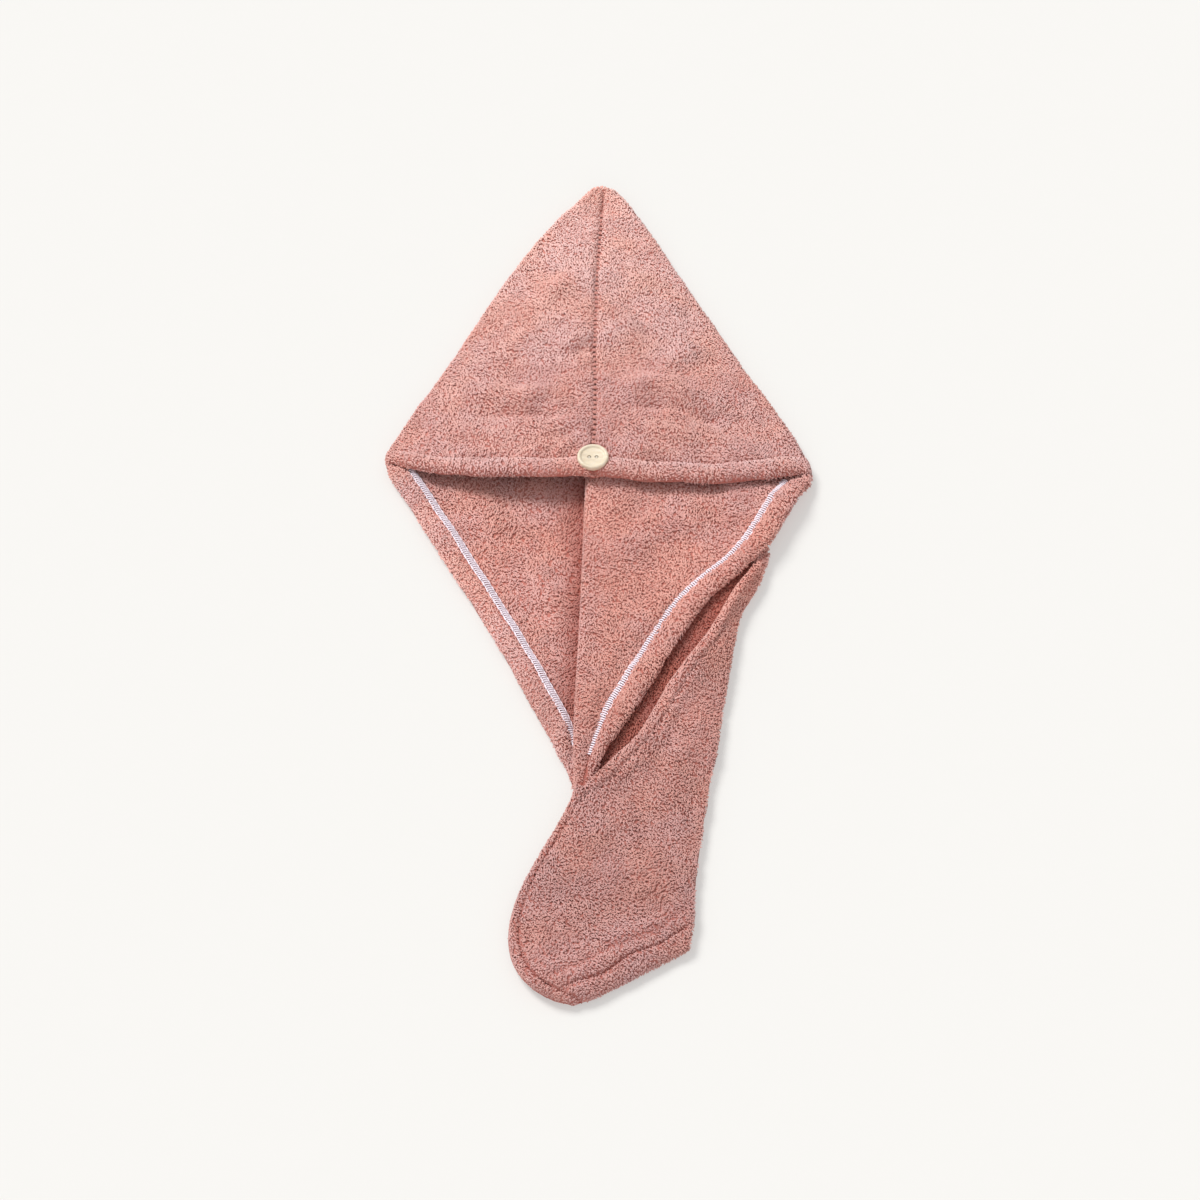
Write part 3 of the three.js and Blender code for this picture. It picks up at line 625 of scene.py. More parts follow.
def right_front_row(row):
    """Right panel's front: flap with its hem, pleat fold, layer under the flap, tail's top."""
    start, pleat_at, crown = front_start(1, row), FLAP_FOLD(row), CROWN(row)
    radius = (CLOTH + LAYER_GAP) / 2
    turn_in = (radius + CLOTH / 2) * float(ramp(0.5, 0.62, row)) + SEAM_GAP / 2
    end = np.array([pleat_at[0] + turn_in, pleat_at[1]])
    p, z, t, pile = flap_part(row, start, end, crown)
    turn, turn_z = pleat_turn(row, end, (end - start[:2]) / span(start, end), radius)
    fold_at = FOLD_AT(row) if row < 2 else LEFT(row)
    at_fork = float(bump(row - FORK_ROW, FORK_SPREAD))
    fold_at[:2] += slit_offset(row) + np.array(FORK_SHIFT) * at_fork
    source = end if row < 2 else fold_at[:2]
    gap = max(span(fold_at, source), CLOTH)
    stop = fold_at[:2] + (source - fold_at[:2]) * min(1, 0.8 * CLOTH / gap)
    hidden = lay(source, stop, np.linspace(0, 1, HIDDEN_STEPS + 1)[1:])
    top, top_z, top_t, top_pile = tail_top(row, fold_at, crown)
    xy = np.vstack([p, turn, hidden, top])
    blunt(xy)
    z = np.concatenate([z, turn_z, np.full(HIDDEN_STEPS, UNDER), top_z])
    t = np.concatenate([t, np.full(TURNS + HIDDEN_STEPS, CLOTH), top_t])
    pile = np.concatenate([pile, np.ones(TURNS), np.full(HIDDEN_STEPS, 0.9), top_pile])
    return np.column_stack([xy, z]), t, pile


def offset_surfaces(P, T, keep):
    """Both faces of a cloth whose mid-surface is the grid P: points and normals."""
    p, q, r, s = P[:-1, :-1], P[1:, :-1], P[:-1, 1:], P[1:, 1:]
    n = np.cross(s - p, r - q)
    n /= np.maximum(np.linalg.norm(n, axis=2, keepdims=True), 1e-9)
    n *= keep[..., None]
    total = np.zeros_like(P)
    for a, b in ((0, 0), (1, 0), (0, 1), (1, 1)):
        total[a:a + n.shape[0], b:b + n.shape[1]] += n
    total /= np.maximum(np.linalg.norm(total, axis=2, keepdims=True), 1e-9)
    half = total * T[..., None] / 2
    return P + half, P - half, total


def new_object(name, verts, faces):
    """Smooth mesh object from points in millimetres in hood coordinates."""
    verts = np.array(verts)
    verts[:, 2] = np.maximum(verts[:, 2], 0.0)
    mesh = bpy.data.meshes.new(name)
    mesh.from_pydata(((verts + SHIFT) * MM).tolist(), [], faces)
    mesh.polygons.foreach_set("use_smooth", [True] * len(mesh.polygons))
    mesh.update()
    obj = bpy.data.objects.new(name, mesh)
    bpy.context.collection.objects.link(obj)
    return obj


def paint(obj, values):
    """Colour attribute read by the fleece: own tone, painted shade from root to tip, and painted shade and
    highlight.
    """
    layer = obj.data.color_attributes.new("tuft", "FLOAT_COLOR", "POINT")
    rgba = np.ones((len(values), 4), np.float32)
    rgba[:, :3] = values
    layer.data.foreach_set("color", rgba.ravel())


def cloth_object(name, grid, keep=None, painted_shade_at=None):
    """Closed cloth from rows of (points, thickness, pile); keep says which cells are there, and the last
    argument gives the painted shade and highlight of each place.
    """
    P = np.array([g[0] for g in grid])
    T = np.array([g[1] for g in grid])
    pile = np.array([g[2] for g in grid])
    R, C = T.shape
    keep = np.ones((R - 1, C - 1), bool) if keep is None else keep
    P[..., 2] += relief(P[..., 0], P[..., 1]) * ramp(0.5, 1.6, T)
    up, down, normal = offset_surfaces(P, T, keep)
    pad = np.zeros((R + 1, C + 1), bool)
    pad[1:-1, 1:-1] = keep
    used = pad[1:, 1:] | pad[:-1, 1:] | pad[1:, :-1] | pad[:-1, :-1]
    ids = np.full((R, C), -1)
    ids[used] = np.arange(used.sum())
    n = int(used.sum())
    i, j = np.nonzero(keep)
    a, b, c, d = ids[i, j], ids[i + 1, j], ids[i + 1, j + 1], ids[i, j + 1]
    faces = [np.column_stack([a, b, c, d]), np.column_stack([d, c, b, a]) + n]
    for di, dj, e, f in ((0, -1, b, a), (0, 1, d, c), (-1, 0, a, d), (1, 0, c, b)):
        rim = ~pad[i + 1 + di, j + 1 + dj]
        faces.append(np.column_stack([e[rim], f[rim], f[rim] + n, e[rim] + n]))
    obj = new_object(name, np.vstack([up[used], down[used]]), np.vstack(faces).tolist())
    # Painted shade and highlight: the pile, bare along stitch lines, times the painted shade of each place;
    # the cloth itself is painted as dark as the tufts' roots
    painted_light = np.maximum(pile, 0) * (painted_shade_at(P[..., 0], P[..., 1]) if painted_shade_at else 1)
    shade = np.tile(painted_light[used], 2)
    paint(obj, np.column_stack([np.full_like(shade, 0.5), np.full_like(shade, GROUND_SHADE), shade]))
    surface = {"up": up, "down": down, "normal": normal, "pile": pile, "open": painted_light, "keep": keep}
    return obj, surface


def lattice(x, y, cell, seed):
    """Smooth noise from 0 to 1 with a given cell size."""
    table = np.random.default_rng(seed).random((61, 67))
    gx, gy = np.asarray(x) / cell + 1000, np.asarray(y) / cell + 1000
    i, j = np.floor(gx).astype(int), np.floor(gy).astype(int)
    u, v = gx - i, gy - j
    u, v = u * u * (3 - 2 * u), v * v * (3 - 2 * v)
    at = lambda a, b: table[(i + a) % 61, (j + b) % 67]
    return mix(mix(at(0, 0), at(1, 0), u), mix(at(0, 1), at(1, 1), u), v)


def relief(x, y):
    """Uneven lie of the fleece, in millimetres."""
    wx = x + 14 * (lattice(x, y, 30.0, SEED + 8) - 0.5)
    wy = y + 14 * (lattice(x, y, 30.0, SEED + 9) - 0.5)
    broad = lattice(0.9 * wx + 0.5 * wy, 1.1 * wy - 0.6 * wx, 20.0, SEED) - 0.5
    folds = 1 - np.abs(2 * lattice(0.7 * wx - 0.6 * wy, 1.1 * wy + 0.8 * wx, 26.0, SEED + 6) - 1)
    fine = lattice(x, y, 6.5, SEED + 1) - 0.5
    return 1.35 * broad + 0.9 * (folds**2 - 0.35) + 0.5 * fine


def scatter(rng, points, surface, cells):
    """Random spots on a face's cells, even by area and pile: their count and a lookup for a grid."""
    pile = surface["pile"]
    a, b, c, d = points[:-1, :-1], points[1:, :-1], points[1:, 1:], points[:-1, 1:]
    area = 0.5 * np.linalg.norm(np.cross(c - a, d - b), axis=2)
    thick = 0.25 * (pile[:-1, :-1] + pile[1:, :-1] + pile[1:, 1:] + pile[:-1, 1:])
    weight = area * (surface["keep"] & cells) * clamp(thick, 0.03, 1)
    total = weight.sum()
    count = int(total * PILE_DENSITY)
    spots = (np.arange(count) + rng.random(count)) / count * total
    cell = np.minimum(np.searchsorted(np.cumsum(weight.ravel()), spots), weight.size - 1)
    i, j = np.divmod(cell, weight.shape[1])
    u, v = rng.random(count)[:, None], rng.random(count)[:, None]
    return count, lambda grid: ((grid[i, j] * (1 - u) + grid[i + 1, j] * u) * (1 - v)
                                + (grid[i, j + 1] * (1 - u) + grid[i + 1, j + 1] * u) * v)


def face_of(surface, side):
    """Points and normals of a cloth's upper face, side 1, or of its lower one, side -1."""
    return surface["up" if side > 0 else "down"], surface["normal"] * side


def unit(v):
    return v / np.maximum(np.linalg.norm(v, axis=1, keepdims=True), 1e-9)


def tuft_way(rng, x, y, normal):
    """Direction in which each tuft lies: brushed one way, uneven in patches."""
    angle = np.radians(LAY_ANGLE) + 3.4 * (lattice(x, y, 26, SEED + 2) - 0.5)
    angle += 2.4 * (lattice(x, y, 7, SEED + 3) - 0.5) + rng.normal(0, 0.42, len(x))
    way = np.column_stack([np.cos(angle), np.sin(angle), 0.15 * rng.normal(size=len(x))])
    return unit(way - normal * np.sum(way * normal, axis=1, keepdims=True))


def pile_object(name, surface, side, cells, seed):
    """Tufts of fleece on one face of a cloth: bent three-sided curls rooted in it."""
    rng = np.random.default_rng(SEED + 10 + seed)
    points, normals = face_of(surface, side)
    count, blend = scatter(rng, points, surface, cells)
    base, normal = blend(points), unit(blend(normals))
    height = clamp(blend(surface["pile"][..., None]), 0.25, 1)[:, 0]
    x, y = base[:, 0], base[:, 1]
    along = tuft_way(rng, x, y, normal)
    across = np.cross(normal, along)
    calm = mix(0.35, 1, ramp(0.2, 0.85, np.abs(normal[:, 2])))
    length = TUFT_LENGTH * rng.uniform(0.7, 1.3, count) * mix(0.55, 1, height) * mix(0.6, 1, calm)
    width = TUFT_WIDTH * rng.uniform(0.75, 1.25, count)
    rise = TUFT_HEIGHT * rng.uniform(0.6, 1.35, count) * height * calm
    rise *= mix(0.7, 1.3, lattice(x, y, 9, SEED + 4))
    bend = rng.normal(0, 0.22, count)
    half, lean = width[:, None] / 2, across * (0.5 * bend * length)[:, None]
    root = base - normal * TUFT_ROOT
    crown = base + along * (0.36 * length)[:, None] + normal * rise[:, None] + lean
    tip = base + along * length[:, None] + normal * (0.3 * rise)[:, None] - lean
    verts = np.stack([
        root + across * half, root - across * half, root - along * half, crown + across * half * 1.1,
        crown - across * half * 1.1, crown + normal * half * 0.8 - along * half * 0.3, tip], axis=1)
    pattern = np.array([(1, 2, 5), (1, 5, 4), (2, 0, 3), (2, 3, 5), (4, 5, 6), (5, 3, 6)])
    faces = pattern[None] + 7 * np.arange(count)[:, None, None]
    obj = new_object(name, verts.reshape(-1, 3), faces.reshape(-1, 3).tolist())
    values = np.zeros((count, 7, 3))
    values[:, :, 0] = rng.random(count)[:, None]
    values[:, :, 1] = np.array(TUFT_SHADE_TONES)[None]
    # Each tuft takes the painted shade and highlight of its place on the cloth
    values[:, :, 2] = blend(surface["open"][..., None])
    paint(obj, values.reshape(-1, 3))
    return obj


def sweep(name, paths, width, height, sides=6):
    """Joined thread pieces: each path is (points, normals); tapered round tubes."""
    verts, faces, base = [], [], 0
    turn = np.arange(sides) * 2 * math.pi / sides
    for points, normals in paths:
        m = len(points)
        out = np.cross(unit(np.gradient(points, axis=0)), normals)
        for k in range(m):
            taper = math.sin(math.pi * (0.12 + 0.76 * k / (m - 1))) ** 0.5
            verts.append(points[k] + np.outer(np.cos(turn), out[k]) * width / 2 * taper
                         + np.outer(np.sin(turn), normals[k]) * height / 2 * taper)
        for k in range(m - 1):
            lo, hi = base + k * sides, base + (k + 1) * sides
            for e in range(sides):
                f = (e + 1) % sides
                faces.append((lo + e, lo + f, hi + f, hi + e))
        first, last = base, base + (m - 1) * sides
        for e in range(1, sides - 1):
            faces.append((first, first + e + 1, first + e))
            faces.append((last, last + e, last + e + 1))
        base += m * sides
    return new_object(name, np.vstack(verts), faces)


def resample(points, normals, spacing):
    """Even points along a polyline, with their normals and directions."""
    d = np.concatenate([[0], np.cumsum(np.linalg.norm(np.diff(points, axis=0), axis=1))])
    t = np.arange(0, d[-1], spacing)
    p = np.column_stack([np.interp(t, d, points[:, k]) for k in range(3)])
    n = np.column_stack([np.interp(t, d, normals[:, k]) for k in range(3)])
    return p, unit(n), unit(np.gradient(p, axis=0))


def tick(at, axes, reach, slant, arch):
    """One arched stitch across a line, as a path with its normals; axes are side, way and normal."""
    side, way, normal = axes
    path = [at + side * reach * a + way * slant * a + normal * (arch[0] + arch[1] * (1 - a * a))
            for a in np.linspace(-1, 1, 5)]
    return np.array(path), np.tile(normal, (5, 1))


def overlock(name, points, normals, seed):
    """Overlock stitching along a line: close ticks over it and a chain along each side."""
    rng = np.random.default_rng(SEED + 50 + seed)
    p, n, way = resample(points, normals, OVERLOCK_PITCH)
    side = np.cross(n, way)
    paths = []
    for k in range(len(p)):
        slant = 0.35 * OVERLOCK_PITCH + rng.normal(0, 0.06)
        reach = OVERLOCK_WIDTH / 2 * rng.uniform(0.93, 1.07)
        paths.append(tick(p[k], (side[k], way[k], n[k]), reach, slant, OVERLOCK_ARCH))
    for s in (-1, 1):
        sway = 0.16 * np.sin(np.arange(len(p)) * 2.1)[:, None]
        line = p + side * (s * OVERLOCK_WIDTH * 0.46 + sway) + n * 0.9
        for k in range(0, len(line) - 3, 3):
            paths.append((line[k:k + 4], n[k:k + 4]))
    return sweep(name, paths, OVERLOCK_THREAD, OVERLOCK_THREAD * 0.8)


def running_stitch(name, points, normals):
    """Dashes of thread along a line."""
    length, gap, thread, lift = HEM_STITCH
    p, n, _ = resample(points, normals, (length + gap) / 5)
    hump = np.array([0.0, 0.3, 0.3, 0.0])[:, None]
    paths = [(p[k:k + 4] + n[k:k + 4] * (lift + hump), n[k:k + 4]) for k in range(0, len(p) - 5, 5)]
    return sweep(name, paths, thread, thread * 0.8)


# Where hood coordinates lie in the model: the button's node carries both
button_low, button_high = (np.array(v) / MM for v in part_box("button"))
SHIFT = np.array([(button_low[0] + button_high[0]) / 2 - SEAM(1)[0],
                  (button_low[1] + button_high[1]) / 2 - HEM_WIDTH * BUTTON_INSET, 0.0])

# Rows of the cloths, close at the hems, at the fork and at the tail's end
HEM_CLOSE = 1 - np.array([24, 21, 19, 17.5, 16.5, 15.8, 15.2, 14.6, 14, 13.2, 12.2, 11, 9.6, 8.2,
                          6.8, 5.4, 4.2, 3.2, 2.3, 1.6, 1.0, 0.6, 0.3, 0.1, 0]) / NAPE_LENGTH
NAPE_ROWS = np.concatenate([[0, 0.004, 0.01, 0.018], np.linspace(0.028, 0.895, 92), HEM_CLOSE])
FRONT_ROWS = np.concatenate([
    np.linspace(0, 0.06, 4), np.linspace(0.12, 0.8, 12), np.linspace(0.83, 0.99, 8), [1, 1.004, 1.012],
    np.linspace(1.022, 1.85, 72), np.linspace(1.858, 2.04, 22), np.linspace(2.055, 2.84, 46),
    3 - np.array([20, 18.5, 17, 15.5, 14, 13, 12, 11.2, 10.4, 9.6, 8.8, 8, 7, 6, 5, 4, 3.2, 2.4,
                  1.7, 1.1, 0.6, 0.3, 0.1, 0]) / TAIL_LENGTH])


def end_rim(grid, rows):
    """Rounds the tail's bottom edge."""
    shares = rounded((3 - rows) * TAIL_LENGTH, CLOTH)
    return [(p, t * share, pile) for (p, t, pile), share in zip(grid, shares)]


left_nape, left_nape_face = cloth_object("left_nape_cloth", [nape_row(-1, r) for r in NAPE_ROWS])
right_nape, right_nape_face = cloth_object("right_nape_cloth", [nape_row(1, r) for r in NAPE_ROWS])
left_grid = end_rim([left_front_row(r) for r in FRONT_ROWS], FRONT_ROWS)
left_front, left_face = cloth_object("left_front_cloth", left_grid, None, left_layer_painted_shade)

flap_cells = len(BAND) + FLAP_STEPS - 1
tail_cell = flap_cells + TURNS + HIDDEN_STEPS


def slit_painted_shade(x, y):
    """Painted shade: dark between the flap and the tail and up the tail's edge beside it, and in front of the
    nape's hem.
    """
    painted_light = np.where(FRONT_ROWS[:, None] < 1, 1.0, hem_painted_shade(y))
    painted_light[:, flap_cells + TURNS:tail_cell] = SLIT_PAINTED_SHADE
    tail_x, tail_y = x[:, tail_cell:], y[:, tail_cell:]
    off = np.hypot(tail_x - tail_x[:, :1], tail_y - tail_y[:, :1])
    # Painted shade fading up the tail's edge beside the slit
    slit_rows = 1 - ramp(1.93, 2.0, FRONT_ROWS)[:, None]
    painted_light[:, tail_cell:] = mix(1, mix(SLIT_PAINTED_SHADE, 1, ramp(0.8, 3.6, off)), slit_rows)
    return painted_light


FLAP_LAST, TAIL_FIRST = FLAP_UNDER[1], 0.62  # rows where the flap ends and the layer below it starts
row_at = FRONT_ROWS[:-1, None]
column = np.arange(tail_cell + len(TAIL_SHARES))[None, :]
kept = np.where(column < flap_cells, row_at < FLAP_LAST,
                (row_at > TAIL_FIRST) & ((column >= tail_cell) | (row_at < FLAP_LAST)))
right_grid = end_rim([right_front_row(r) for r in FRONT_ROWS], FRONT_ROWS)
right_front, right_face = cloth_object("right_front_cloth", right_grid, kept, slit_painted_shade)

# Pile only where it can be seen
everywhere = np.ones_like(left_nape_face["keep"])
left_x = left_face["up"][:-1, :-1, 0]
pleat_x = np.array([FLAP_FOLD(r)[0] for r in FRONT_ROWS[:-1]])[:, None]
seen_left = (row_at > 0.86) & (row_at < 2.0) & (left_x < pleat_x + 5)
seen_flap = (row_at > 0.86) & (column < flap_cells + TURNS // 2)
slit = (column >= tail_cell - HIDDEN_STEPS * 3 // 5) & (column < tail_cell) & (row_at > 1.1)
seen_tail = (column >= tail_cell) & (row_at > 1.02)
piles = [
    pile_object("left_nape_pile", left_nape_face, -1, everywhere, 1),
    pile_object("right_nape_pile", right_nape_face, 1, everywhere, 2),
    pile_object("left_front_pile", left_face, 1, seen_left, 3),
    pile_object("flap_pile", right_face, -1, seen_flap, 4),
    pile_object("tail_pile", right_face, 1, seen_tail | slit, 5),
]


def line_on(face, side, column_at, row_range):
    """Points and normals along a column of a cloth's face, for rows in a range."""
    points, normals = face_of(face, side)
    rows = np.nonzero((FRONT_ROWS >= row_range[0]) & (FRONT_ROWS <= row_range[1]))[0]
    return points[rows, column_at], normals[rows, column_at]


left_column, right_column = (int(np.argmin(np.abs(BAND - v))) for v in (LEFT_SEAM_AT, 1.0))
left_overlock = overlock("left_overlock", *line_on(left_face, 1, left_column, (1.01, 1.93)), 1)
right_overlock = overlock("right_overlock", *line_on(right_face, -1, right_column, (1.02, 1.88)), 2)


def level_beside_seam(points):
    """Height of a nape row's cloth a little off its seam."""
    near = points[:NEAR_SEAM]
    return np.interp(BRIDGE_LEVEL, off_centre(near[:, 0], near[:, 1]), near[:, 2])


def seam_bridges():
    """Short threads across the nape's middle seam, from near the point down to the hem."""
    left, right = left_nape_face["down"], right_nape_face["up"]
    middle = (left[:, 0] + right[:, 0]) / 2
    for k in range(1, len(middle)):
        middle[k, 2] = (level_beside_seam(left[k]) + level_beside_seam(right[k])) / 2 - BRIDGE_DROP
    top = np.linspace(NAPE_LENGTH - 12, middle[1, 1], 8)
    top = np.column_stack([np.interp(top, CENTRE[:, 1], CENTRE[:, 0]), top, np.full(8, middle[3, 2])])
    middle = np.vstack([top, middle[2:]])
    up = np.tile([0.0, 0.0, 1.0], (len(middle), 1))
    p, n, way = resample(middle, up, SEAM_PITCH)
    side = np.cross(n, way)
    paths = [tick(at, axes, SEAM_REACH, SEAM_SLANT, SEAM_ARCH) for at, *axes in zip(p, side, way, n)]
    return sweep("nape_seam_stitches", paths, *SEAM_THREAD)


def hem_stitches(name, face, side):
    """Stitch line along the groove of the nape's hem."""
    points, normals = face_of(face, side)
    row = int(np.argmin(np.abs(NAPE_ROWS - (1 - HEM_WIDTH * HEM_LINE / NAPE_LENGTH))))
    columns = slice(3, len(NAPE_SHARES) + 3)
    return running_stitch(name, points[row, columns], normals[row, columns])


left_stitches = hem_stitches("left_hem_stitches", left_nape_face, -1)
right_stitches = hem_stitches("right_hem_stitches", right_nape_face, 1)
nape_stitches = seam_bridges()


def button_outline(r, h):
    """Half section of the button: (radius, height) from the middle of its back to that of its face."""
    return [(0, 0), (r - 1.0, 0), (r - 0.45, 0.12), (r - 0.12, 0.45), (r, 0.95), (r, h - 1.1),
            (r - 0.1, h - 0.62), (r - 0.38, h - 0.24), (r - 0.8, h - 0.04), (r - 1.2, h),
            (r - 1.65, h - 0.08), (r - 2.0, h - 0.3), (r - 2.2, h - 0.62), (r - 2.5, h - 0.84),
            (r - 3.0, h - BUTTON_RECESS), (2.5, h - BUTTON_RECESS - 0.18), (0, h - BUTTON_RECESS - 0.22)]


def drill_hole(obj, at, radius, depth):
    bpy.ops.mesh.primitive_cylinder_add(vertices=32, radius=radius, depth=depth, location=at)
    drill = bpy.context.object
    cut = obj.modifiers.new("hole", "BOOLEAN")
    cut.object, cut.operation, cut.solver = drill, "DIFFERENCE", "EXACT"
    bpy.context.view_layer.objects.active = obj
    bpy.ops.object.modifier_apply(modifier=cut.name)
    bpy.data.objects.remove(drill)


def button_object():
    """Button with a soft raised rim, a dished recess and two holes; it replaces its node."""
    outline, turns = button_outline(BUTTON_DIAMETER / 2, BUTTON_THICKNESS), 96
    a = np.arange(turns) * 2 * math.pi / turns
    rings = [np.column_stack([r * np.cos(a), r * np.sin(a), np.full(turns, z)]) for r, z in outline[1:-1]]
    verts = np.vstack(rings + [[[0, 0, outline[0][1]]], [[0, 0, outline[-1][1]]]])
    low, top, last = len(verts) - 2, len(verts) - 1, (len(rings) - 1) * turns
    around = [(e, (e + 1) % turns) for e in range(turns)]
    faces = [(k + e, k + f, k + turns + f, k + turns + e) for k in range(0, last, turns) for e, f in around]
    for e, f in around:
        faces.append((low, f, e))
        faces.append((top, last + e, last + f))
    at = np.array([SEAM(1)[0], HEM_WIDTH * BUTTON_INSET, button_low[2]])
    obj = new_object("button_disc", verts + at, faces)
    for side in (-1, 1):
        hole = (at + SHIFT + [side * HOLE_SPACING / 2, 0, BUTTON_THICKNESS / 2]) * MM
        drill_hole(obj, hole, HOLE_DIAMETER / 2 * MM, 2 * BUTTON_THICKNESS * MM)
    obj.data.polygons.foreach_set("use_smooth", [True] * len(obj.data.polygons))
    obj.data.set_sharp_from_angle(angle=math.radians(50))
    return obj


button = button_object()


class Look:
    """A new material, with the few node helpers that the looks below share."""

    def __init__(self, name):
        self.material = bpy.data.materials.new(name)
        self.material.use_nodes = True
        self.nodes, self.links = self.material.node_tree.nodes, self.material.node_tree.links
        self.shader = self.nodes["Principled BSDF"]

    def set(self, **values):
        for name, value in values.items():
            self.shader.inputs[name.replace("_", " ")].default_value = value

    def coordinates(self):
        return self.nodes.new("ShaderNodeTexCoord").outputs["Object"]

    def noise(self, scale, detail=3.0, rough=0.55, stretch=(1, 1, 1), turn=0.0):
        """3-D noise in object coordinates, in metres."""
        mapping = self.nodes.new("ShaderNodeMapping")
        mapping.inputs["Scale"].default_value = stretch
        mapping.inputs["Rotation"].default_value = (0, 0, turn)
        tex = self.nodes.new("ShaderNodeTexNoise")
        for name, value in (("Scale", scale), ("Detail", detail), ("Roughness", rough)):
            tex.inputs[name].default_value = value
        self.links.new(self.coordinates(), mapping.inputs["Vector"])
        self.links.new(mapping.outputs["Vector"], tex.inputs["Vector"])
        return tex.outputs["Fac"]

    def ranged(self, factor, low, high, to_low=0.0, to_high=1.0):
        node = self.nodes.new("ShaderNodeMapRange")
        for name, value in zip(("From Min", "From Max", "To Min", "To Max"), (low, high, to_low, to_high)):
            node.inputs[name].default_value = value
        self.links.new(factor, node.inputs["Value"])
        return node.outputs["Result"]

    def mix(self, factor, a, b, low=0.0, high=1.0, blend="MIX"):
        """Colour between a and b; each of factor, a and b is a socket or a plain value."""
        node = self.nodes.new("ShaderNodeMix")
        node.data_type, node.blend_type = "RGBA", blend
        if isinstance(factor, float):
            node.inputs[0].default_value = factor
        else:
            self.links.new(self.ranged(factor, low, high), node.inputs[0])
        for socket, value in ((node.inputs[6], a), (node.inputs[7], b)):
            if isinstance(value, tuple):
                socket.default_value = (*value, 1)
            else:
                self.links.new(value, socket)
        return node.outputs[2]

    def tint(self, colour, by):
        return self.mix(1.0, colour, by, blend="MULTIPLY")

    def base(self, colour):
        self.links.new(colour, self.shader.inputs["Base Color"])

    def bump(self, height, distance, strength):
        node = self.nodes.new("ShaderNodeBump")
        node.inputs["Strength"].default_value = strength
        node.inputs["Distance"].default_value = distance
        self.links.new(height, node.inputs["Height"])
        self.links.new(node.outputs["Normal"], self.shader.inputs["Normal"])


# Fleece colours, with a root colour that also paints shade at the tufts' roots, and tints that paint shade
# into its folds and light and shade from end to end
ROOT, TIP, WARM = (0.52, 0.16, 0.125), (0.80, 0.475, 0.452), (0.83, 0.445, 0.387)
GRAIN = (1, 0.9, 0.86)
# Painted shade tint for folds, under the nape's hem and in the slit
PAINTED_SHADE_TINT = (0.62, 0.4, 0.36)
# Paler tint: painted highlight on the nape hem's crest, and the turned face of the left hem
PALE_TINT = (1.06, 1.15, 1.18)
# Tints along the towel: darker near the nape's hem, paler toward the point, warmer on the front; painted
# shade on the tail and painted light on its end
NAPE_LOWER, NAPE_UPPER = (0.93, 0.93, 0.93), (1.1, 1.22, 1.22)
INNER, TAIL_PAINTED_SHADE, TAIL_END_PAINTED_LIGHT = (0.93, 0.86, 0.83), (0.79, 0.82, 0.85), (0.92, 0.99, 1.05)
SHEEN = (1.0, 0.86, 0.82, 1)


def by_place(look, colour):
    """The fleece's colour with its tints along the towel, in metres from the middle of the model: painted
    shade on the tail, painted light on its end.
    """
    axes = look.nodes.new("ShaderNodeSeparateXYZ")
    look.links.new(look.coordinates(), axes.inputs["Vector"])
    along = axes.outputs["Y"]
    inner = look.tint(colour, INNER)
    tail = look.mix(along, look.tint(inner, TAIL_END_PAINTED_LIGHT), look.tint(inner, TAIL_PAINTED_SHADE), -0.29, -0.23)
    front = look.mix(along, tail, inner, -0.22, -0.02)
    nape = look.mix(along, look.tint(colour, NAPE_LOWER), look.tint(colour, NAPE_UPPER), 0.1, 0.29)
    return look.mix(along, front, nape, 0.03, 0.06)


def fleece(name):
    """Coral fleece: painted shade at the roots and between the tufts, paler at their tips, in brushed
    patches, with painted shade and highlight from its colour attribute.
    """
    look = Look(name)
    attribute = look.nodes.new("ShaderNodeAttribute")
    attribute.attribute_name = "tuft"
    parts = look.nodes.new("ShaderNodeSeparateColor")
    look.links.new(attribute.outputs["Color"], parts.inputs["Color"])
    own_tone, root_shade_to_tip, painted_shade_and_highlight = (parts.outputs[k] for k in ("Red", "Green", "Blue"))
    light = look.mix(look.noise(34.0), TIP, WARM, 0.4, 0.62)
    own = look.mix(own_tone, light, look.mix(0.5, light, ROOT), 0.35, 1.3)
    # Painted shade at the tufts' roots and on the cloth between them
    colour = look.mix(root_shade_to_tip, ROOT, own, 0.0, 0.85)
    colour = look.mix(look.noise(900.0, 2.0), colour, look.mix(0.14, colour, GRAIN), 0.45, 0.65)
    # Painted shade where the attribute's third channel is low
    whole = by_place(look, look.mix(painted_shade_and_highlight, look.tint(colour, PAINTED_SHADE_TINT), colour, 0.1, 0.9))
    # Paler tint over 1: painted highlight on the nape hem's crest, and the turned face of the left hem
    look.base(look.mix(painted_shade_and_highlight, whole, look.tint(whole, PALE_TINT), 1.0, STRIP_TONE))
    look.set(Roughness=0.95, Specular_IOR_Level=0.2, Sheen_Weight=0.14, Sheen_Roughness=0.5, Sheen_Tint=SHEEN)
    look.bump(look.noise(700.0, 4.0, 0.6), 0.0006, 0.8)
    return look.material


def thread(name, colour, dark):
    look = Look(name)
    fibre = look.noise(2200.0, 2.0, 0.5, (1, 3, 1), 0.6)
    look.base(look.mix(fibre, dark, colour, 0.3, 0.6))
    look.set(Roughness=0.55, Sheen_Weight=0.3)
    look.bump(fibre, 0.0002, 0.7)
    return look.material


